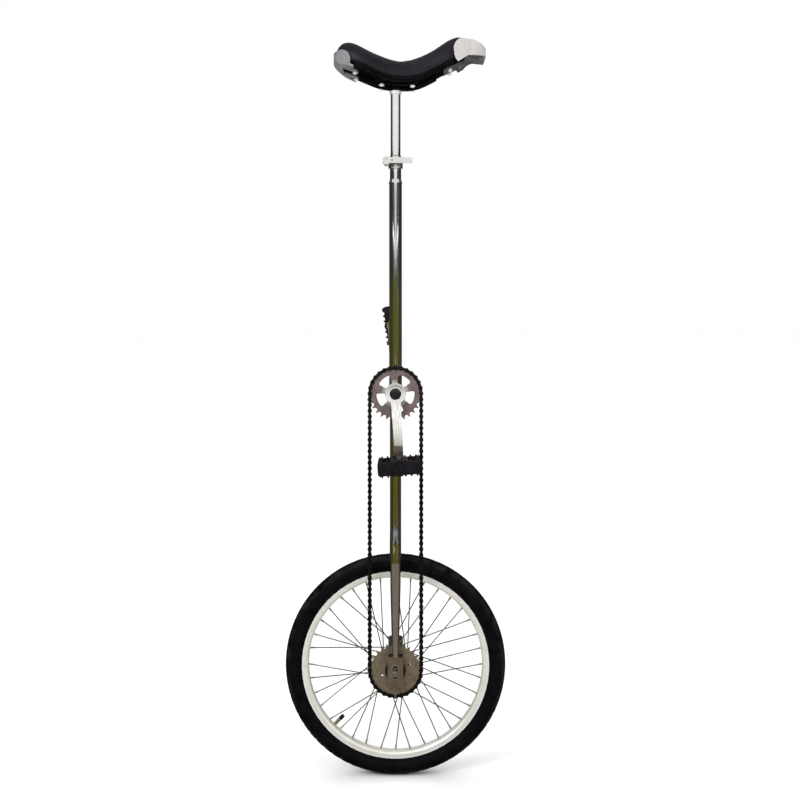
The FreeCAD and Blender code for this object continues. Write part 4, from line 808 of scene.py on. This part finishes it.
# The wall behind the camera, and the right half of the walls beside and behind the object
FRONT_WALL = [(-1.9, -1.6), (-1.1, -3.4), (1.1, -3.4), (1.9, -1.6)]
SIDE_WALL = [(1.9, -1.6), (1.85, -0.5), (1.7, 0.2), (1.3, 2.4), (0.12, 3.4)]
WALL_TOP = 3.2
DARK_TOP = 1.74
OLIVE_TOP = 1.18

# Bands of the front wall, from the sky down: bottom, top and colour
FRONT_BANDS = [
    (2.50, 4.5, rgb(0.80, 0.79, 0.77)),
    (1.80, 2.50, rgb(0.92, 0.92, 0.92)),
    (1.49, 1.80, rgb(0.045, 0.045, 0.05)),
    (1.43, 1.49, rgb(1.8, 1.8, 1.8)),
    (1.36, 1.43, rgb(0.10, 0.11, 0.15)),
    (1.28, 1.36, rgb(0.035, 0.035, 0.04)),
    (0.20, 1.28, OLIVE),
    (0.08, 0.20, rgb(0.13, 0.12, 0.045)),
    (0.00, 0.08, rgb(0.17, 0.145, 0.10)),
]

# Bright openings just in front of that wall: name, half width, bottom, top and brightness
WINDOWS = [
    ("card_window", 1.0, 1.36, 1.80, 0.75),
    ("card_arm", 0.45, 0.43, 0.62, 1.9),
    ("card_boss", 0.45, 0.62, 0.82, 0.38),
]
WINDOW_GAP = 0.02

# Edges of the leaning cards close in front: half width, Y and height, and the colours between them
NEAR_EDGES = [(0.02, -0.35, 0.40), (0.40, -0.35, 0.60), (0.40, -0.17, 0.70), (0.40, -0.12, 0.74)]
NEAR_COLOURS = [OLIVE, OLIVE, rgb(0.15, 0.115, 0.085)]

# The floor's cards: how far they reach, where the front one meets the back one, and their height
FLOOR_CARD_REACH = 3.4
FLOOR_CARD_SPLIT = -0.30
FLOOR_CARD_HEIGHT = 4 * MM

CAMERA_PLACE = (0.010, -2.3, 1.0)
CAMERA_LENS = 46.0
CAMERA_SENSOR = 36.0
CAMERA_SHIFT = -0.0894


def plain_material(name, colour, roughness):
    """A plain paint for the floor."""
    return new_material(name, Base_Color=colour, Roughness=roughness)[0]


def build_floor():
    """A wide pale floor."""
    reach = FLOOR_REACH
    corners = [(-reach, -reach, 0), (reach, -reach, 0), (reach, reach, 0), (-reach, reach, 0)]
    paint = plain_material("floor_mat", rgb(0.95, 0.95, 0.95), 0.8)
    mesh_object("floor", corners, [(0, 1, 2, 3)], paint)


def build_card(name, corners, colour):
    """A flat card of even brightness that is seen only in reflections."""
    paint = new_material(name + "_mat", Base_Color=rgb(0, 0, 0), Roughness=1.0,
                         Emission_Color=colour, Emission_Strength=1.0)[0]
    card = mesh_object(name, corners, [(0, 1, 2, 3)], paint)
    card.visible_camera = False
    card.visible_diffuse = False
    card.visible_transmission = False
    card.visible_shadow = False


def build_wall(name, path, bottom, top, colour):
    """Upright cards along a path on the floor."""
    for k, (near, far) in enumerate(zip(path, path[1:])):
        corners = [(*near, bottom), (*far, bottom), (*far, top), (*near, top)]
        build_card(f"{name}_{k}", corners, colour)


def build_side_cards():
    """Dark walls beside and behind, which give the tubes their dark edges, and a sky in front."""
    for side, label in ((-1, "left"), (1, "right")):
        wall = [(side * x, y) for x, y in SIDE_WALL]
        build_wall("card_low_" + label, wall, 0.0, OLIVE_TOP, rgb(0.050, 0.046, 0.020))
        build_wall("card_high_" + label, wall, OLIVE_TOP, DARK_TOP, rgb(0.030, 0.030, 0.036))
        build_wall("card_sky_" + label, wall[:2], DARK_TOP, WALL_TOP, rgb(0.75, 0.75, 0.75))
        build_wall("card_top_" + label, wall[1:], DARK_TOP, WALL_TOP, rgb(0.060, 0.060, 0.065))


def build_front_cards():
    """The wall behind the camera and its openings, which give the tubes their bright middles."""
    for k, (bottom, top, colour) in enumerate(FRONT_BANDS):
        build_wall(f"card_front_{k}", FRONT_WALL, bottom, top, colour)
    for window in WINDOWS:
        build_window(*window)


def build_near_cards():
    """Leaning cards close in front, which the bend of the fork and the foot of the crank reflect."""
    for k, colour in enumerate(NEAR_COLOURS):
        low_x, low_y, low_z = NEAR_EDGES[k]
        high_x, high_y, high_z = NEAR_EDGES[k + 1]
        corners = [
            (-low_x, low_y, low_z),
            (low_x, low_y, low_z),
            (high_x, high_y, high_z),
            (-high_x, high_y, high_z),
        ]
        build_card(f"card_near_{k}", corners, colour)


def build_window(name, half_width, bottom, top, brightness):
    """A small bright opening in the wall behind the camera."""
    y = FRONT_WALL[1][1] + WINDOW_GAP
    white = rgb(brightness, brightness, brightness)
    build_wall(name, [(-half_width, y), (half_width, y)], bottom, top, white)


def build_floor_cards():
    """A tan floor in front and a darker one behind, seen in the lower half of the chrome."""
    build_floor_card("card_floor_front", -FLOOR_CARD_REACH, FLOOR_CARD_SPLIT, rgb(0.20, 0.165, 0.135))
    build_floor_card("card_floor_back", FLOOR_CARD_SPLIT, FLOOR_CARD_REACH, rgb(0.050, 0.044, 0.040))


def build_floor_card(name, near, far, colour):
    """A level card just above the floor, between two values of Y."""
    reach = FLOOR_CARD_REACH
    z = FLOOR_CARD_HEIGHT
    build_card(name, [(-reach, near, z), (reach, near, z), (reach, far, z), (-reach, far, z)], colour)


def area_light(name, where, towards, width, height, power):
    """A soft rectangular lamp, aimed at a point."""
    data = bpy.data.lights.new(name, "AREA")
    data.shape = "RECTANGLE"
    data.size = width
    data.size_y = height
    data.energy = power
    made = bpy.data.objects.new(name, data)
    made.location = where
    made.rotation_euler = (Vector(towards) - Vector(where)).to_track_quat("-Z", "Y").to_euler()
    bpy.context.scene.collection.objects.link(made)


def build_room():
    """A pale room: white where it is seen directly, dimmer where it lights the object."""
    world = bpy.data.worlds.new("room")
    bpy.context.scene.world = world
    world.use_nodes = True
    tree = world.node_tree
    background = tree.nodes["Background"]
    background.inputs["Color"].default_value = rgb(1.0, 1.0, 1.0)
    seen = add_node(tree, "LightPath").outputs["Is Camera Ray"]
    tree.links.new(spread(tree, seen, 0.0, 1.0, ROOM_LIGHT, 1.0), background.inputs["Strength"])


def build_lights():
    """Soft studio light: a wide sky overhead, a key from the front left and a fill on the right."""
    sky = bpy.data.lights.new("overhead", "SUN")
    sky.energy = SKY_LIGHT
    sky.angle = SKY_SPREAD
    made = bpy.data.objects.new("overhead", sky)
    made.visible_glossy = False
    bpy.context.scene.collection.objects.link(made)
    area_light("key", (-2.2, -3.0, 3.0), (0, 0, 0.9), 1.4, 1.4, 70.0)
    area_light("fill", (2.6, -2.4, 1.6), (0, 0, 0.8), 1.2, 1.8, 22.0)


def build_camera():
    """A level camera on the chain side, a little above the middle of the frame."""
    data = bpy.data.cameras.new("camera")
    data.lens = CAMERA_LENS
    data.sensor_width = CAMERA_SENSOR
    data.shift_y = CAMERA_SHIFT
    camera = bpy.data.objects.new("camera", data)
    camera.location = CAMERA_PLACE
    camera.rotation_euler = (math.radians(90), 0, 0)
    bpy.context.scene.collection.objects.link(camera)
    bpy.context.scene.camera = camera
    bpy.context.scene.view_settings.view_transform = "Standard"


# ---------------------------------------------------------------- everything


MATERIALS = make_materials()
dress_nodes(MATERIALS)
build_tyre(MATERIALS["tyre_rubber"])
CUSHION = build_cushion(MATERIALS)
build_edge_trim(CUSHION, MATERIALS["base_plastic"])
build_welds(MATERIALS["frame_chrome"])
build_floor()
build_side_cards()
build_front_cards()
build_near_cards()
build_floor_cards()
build_room()
build_lights()
build_camera()
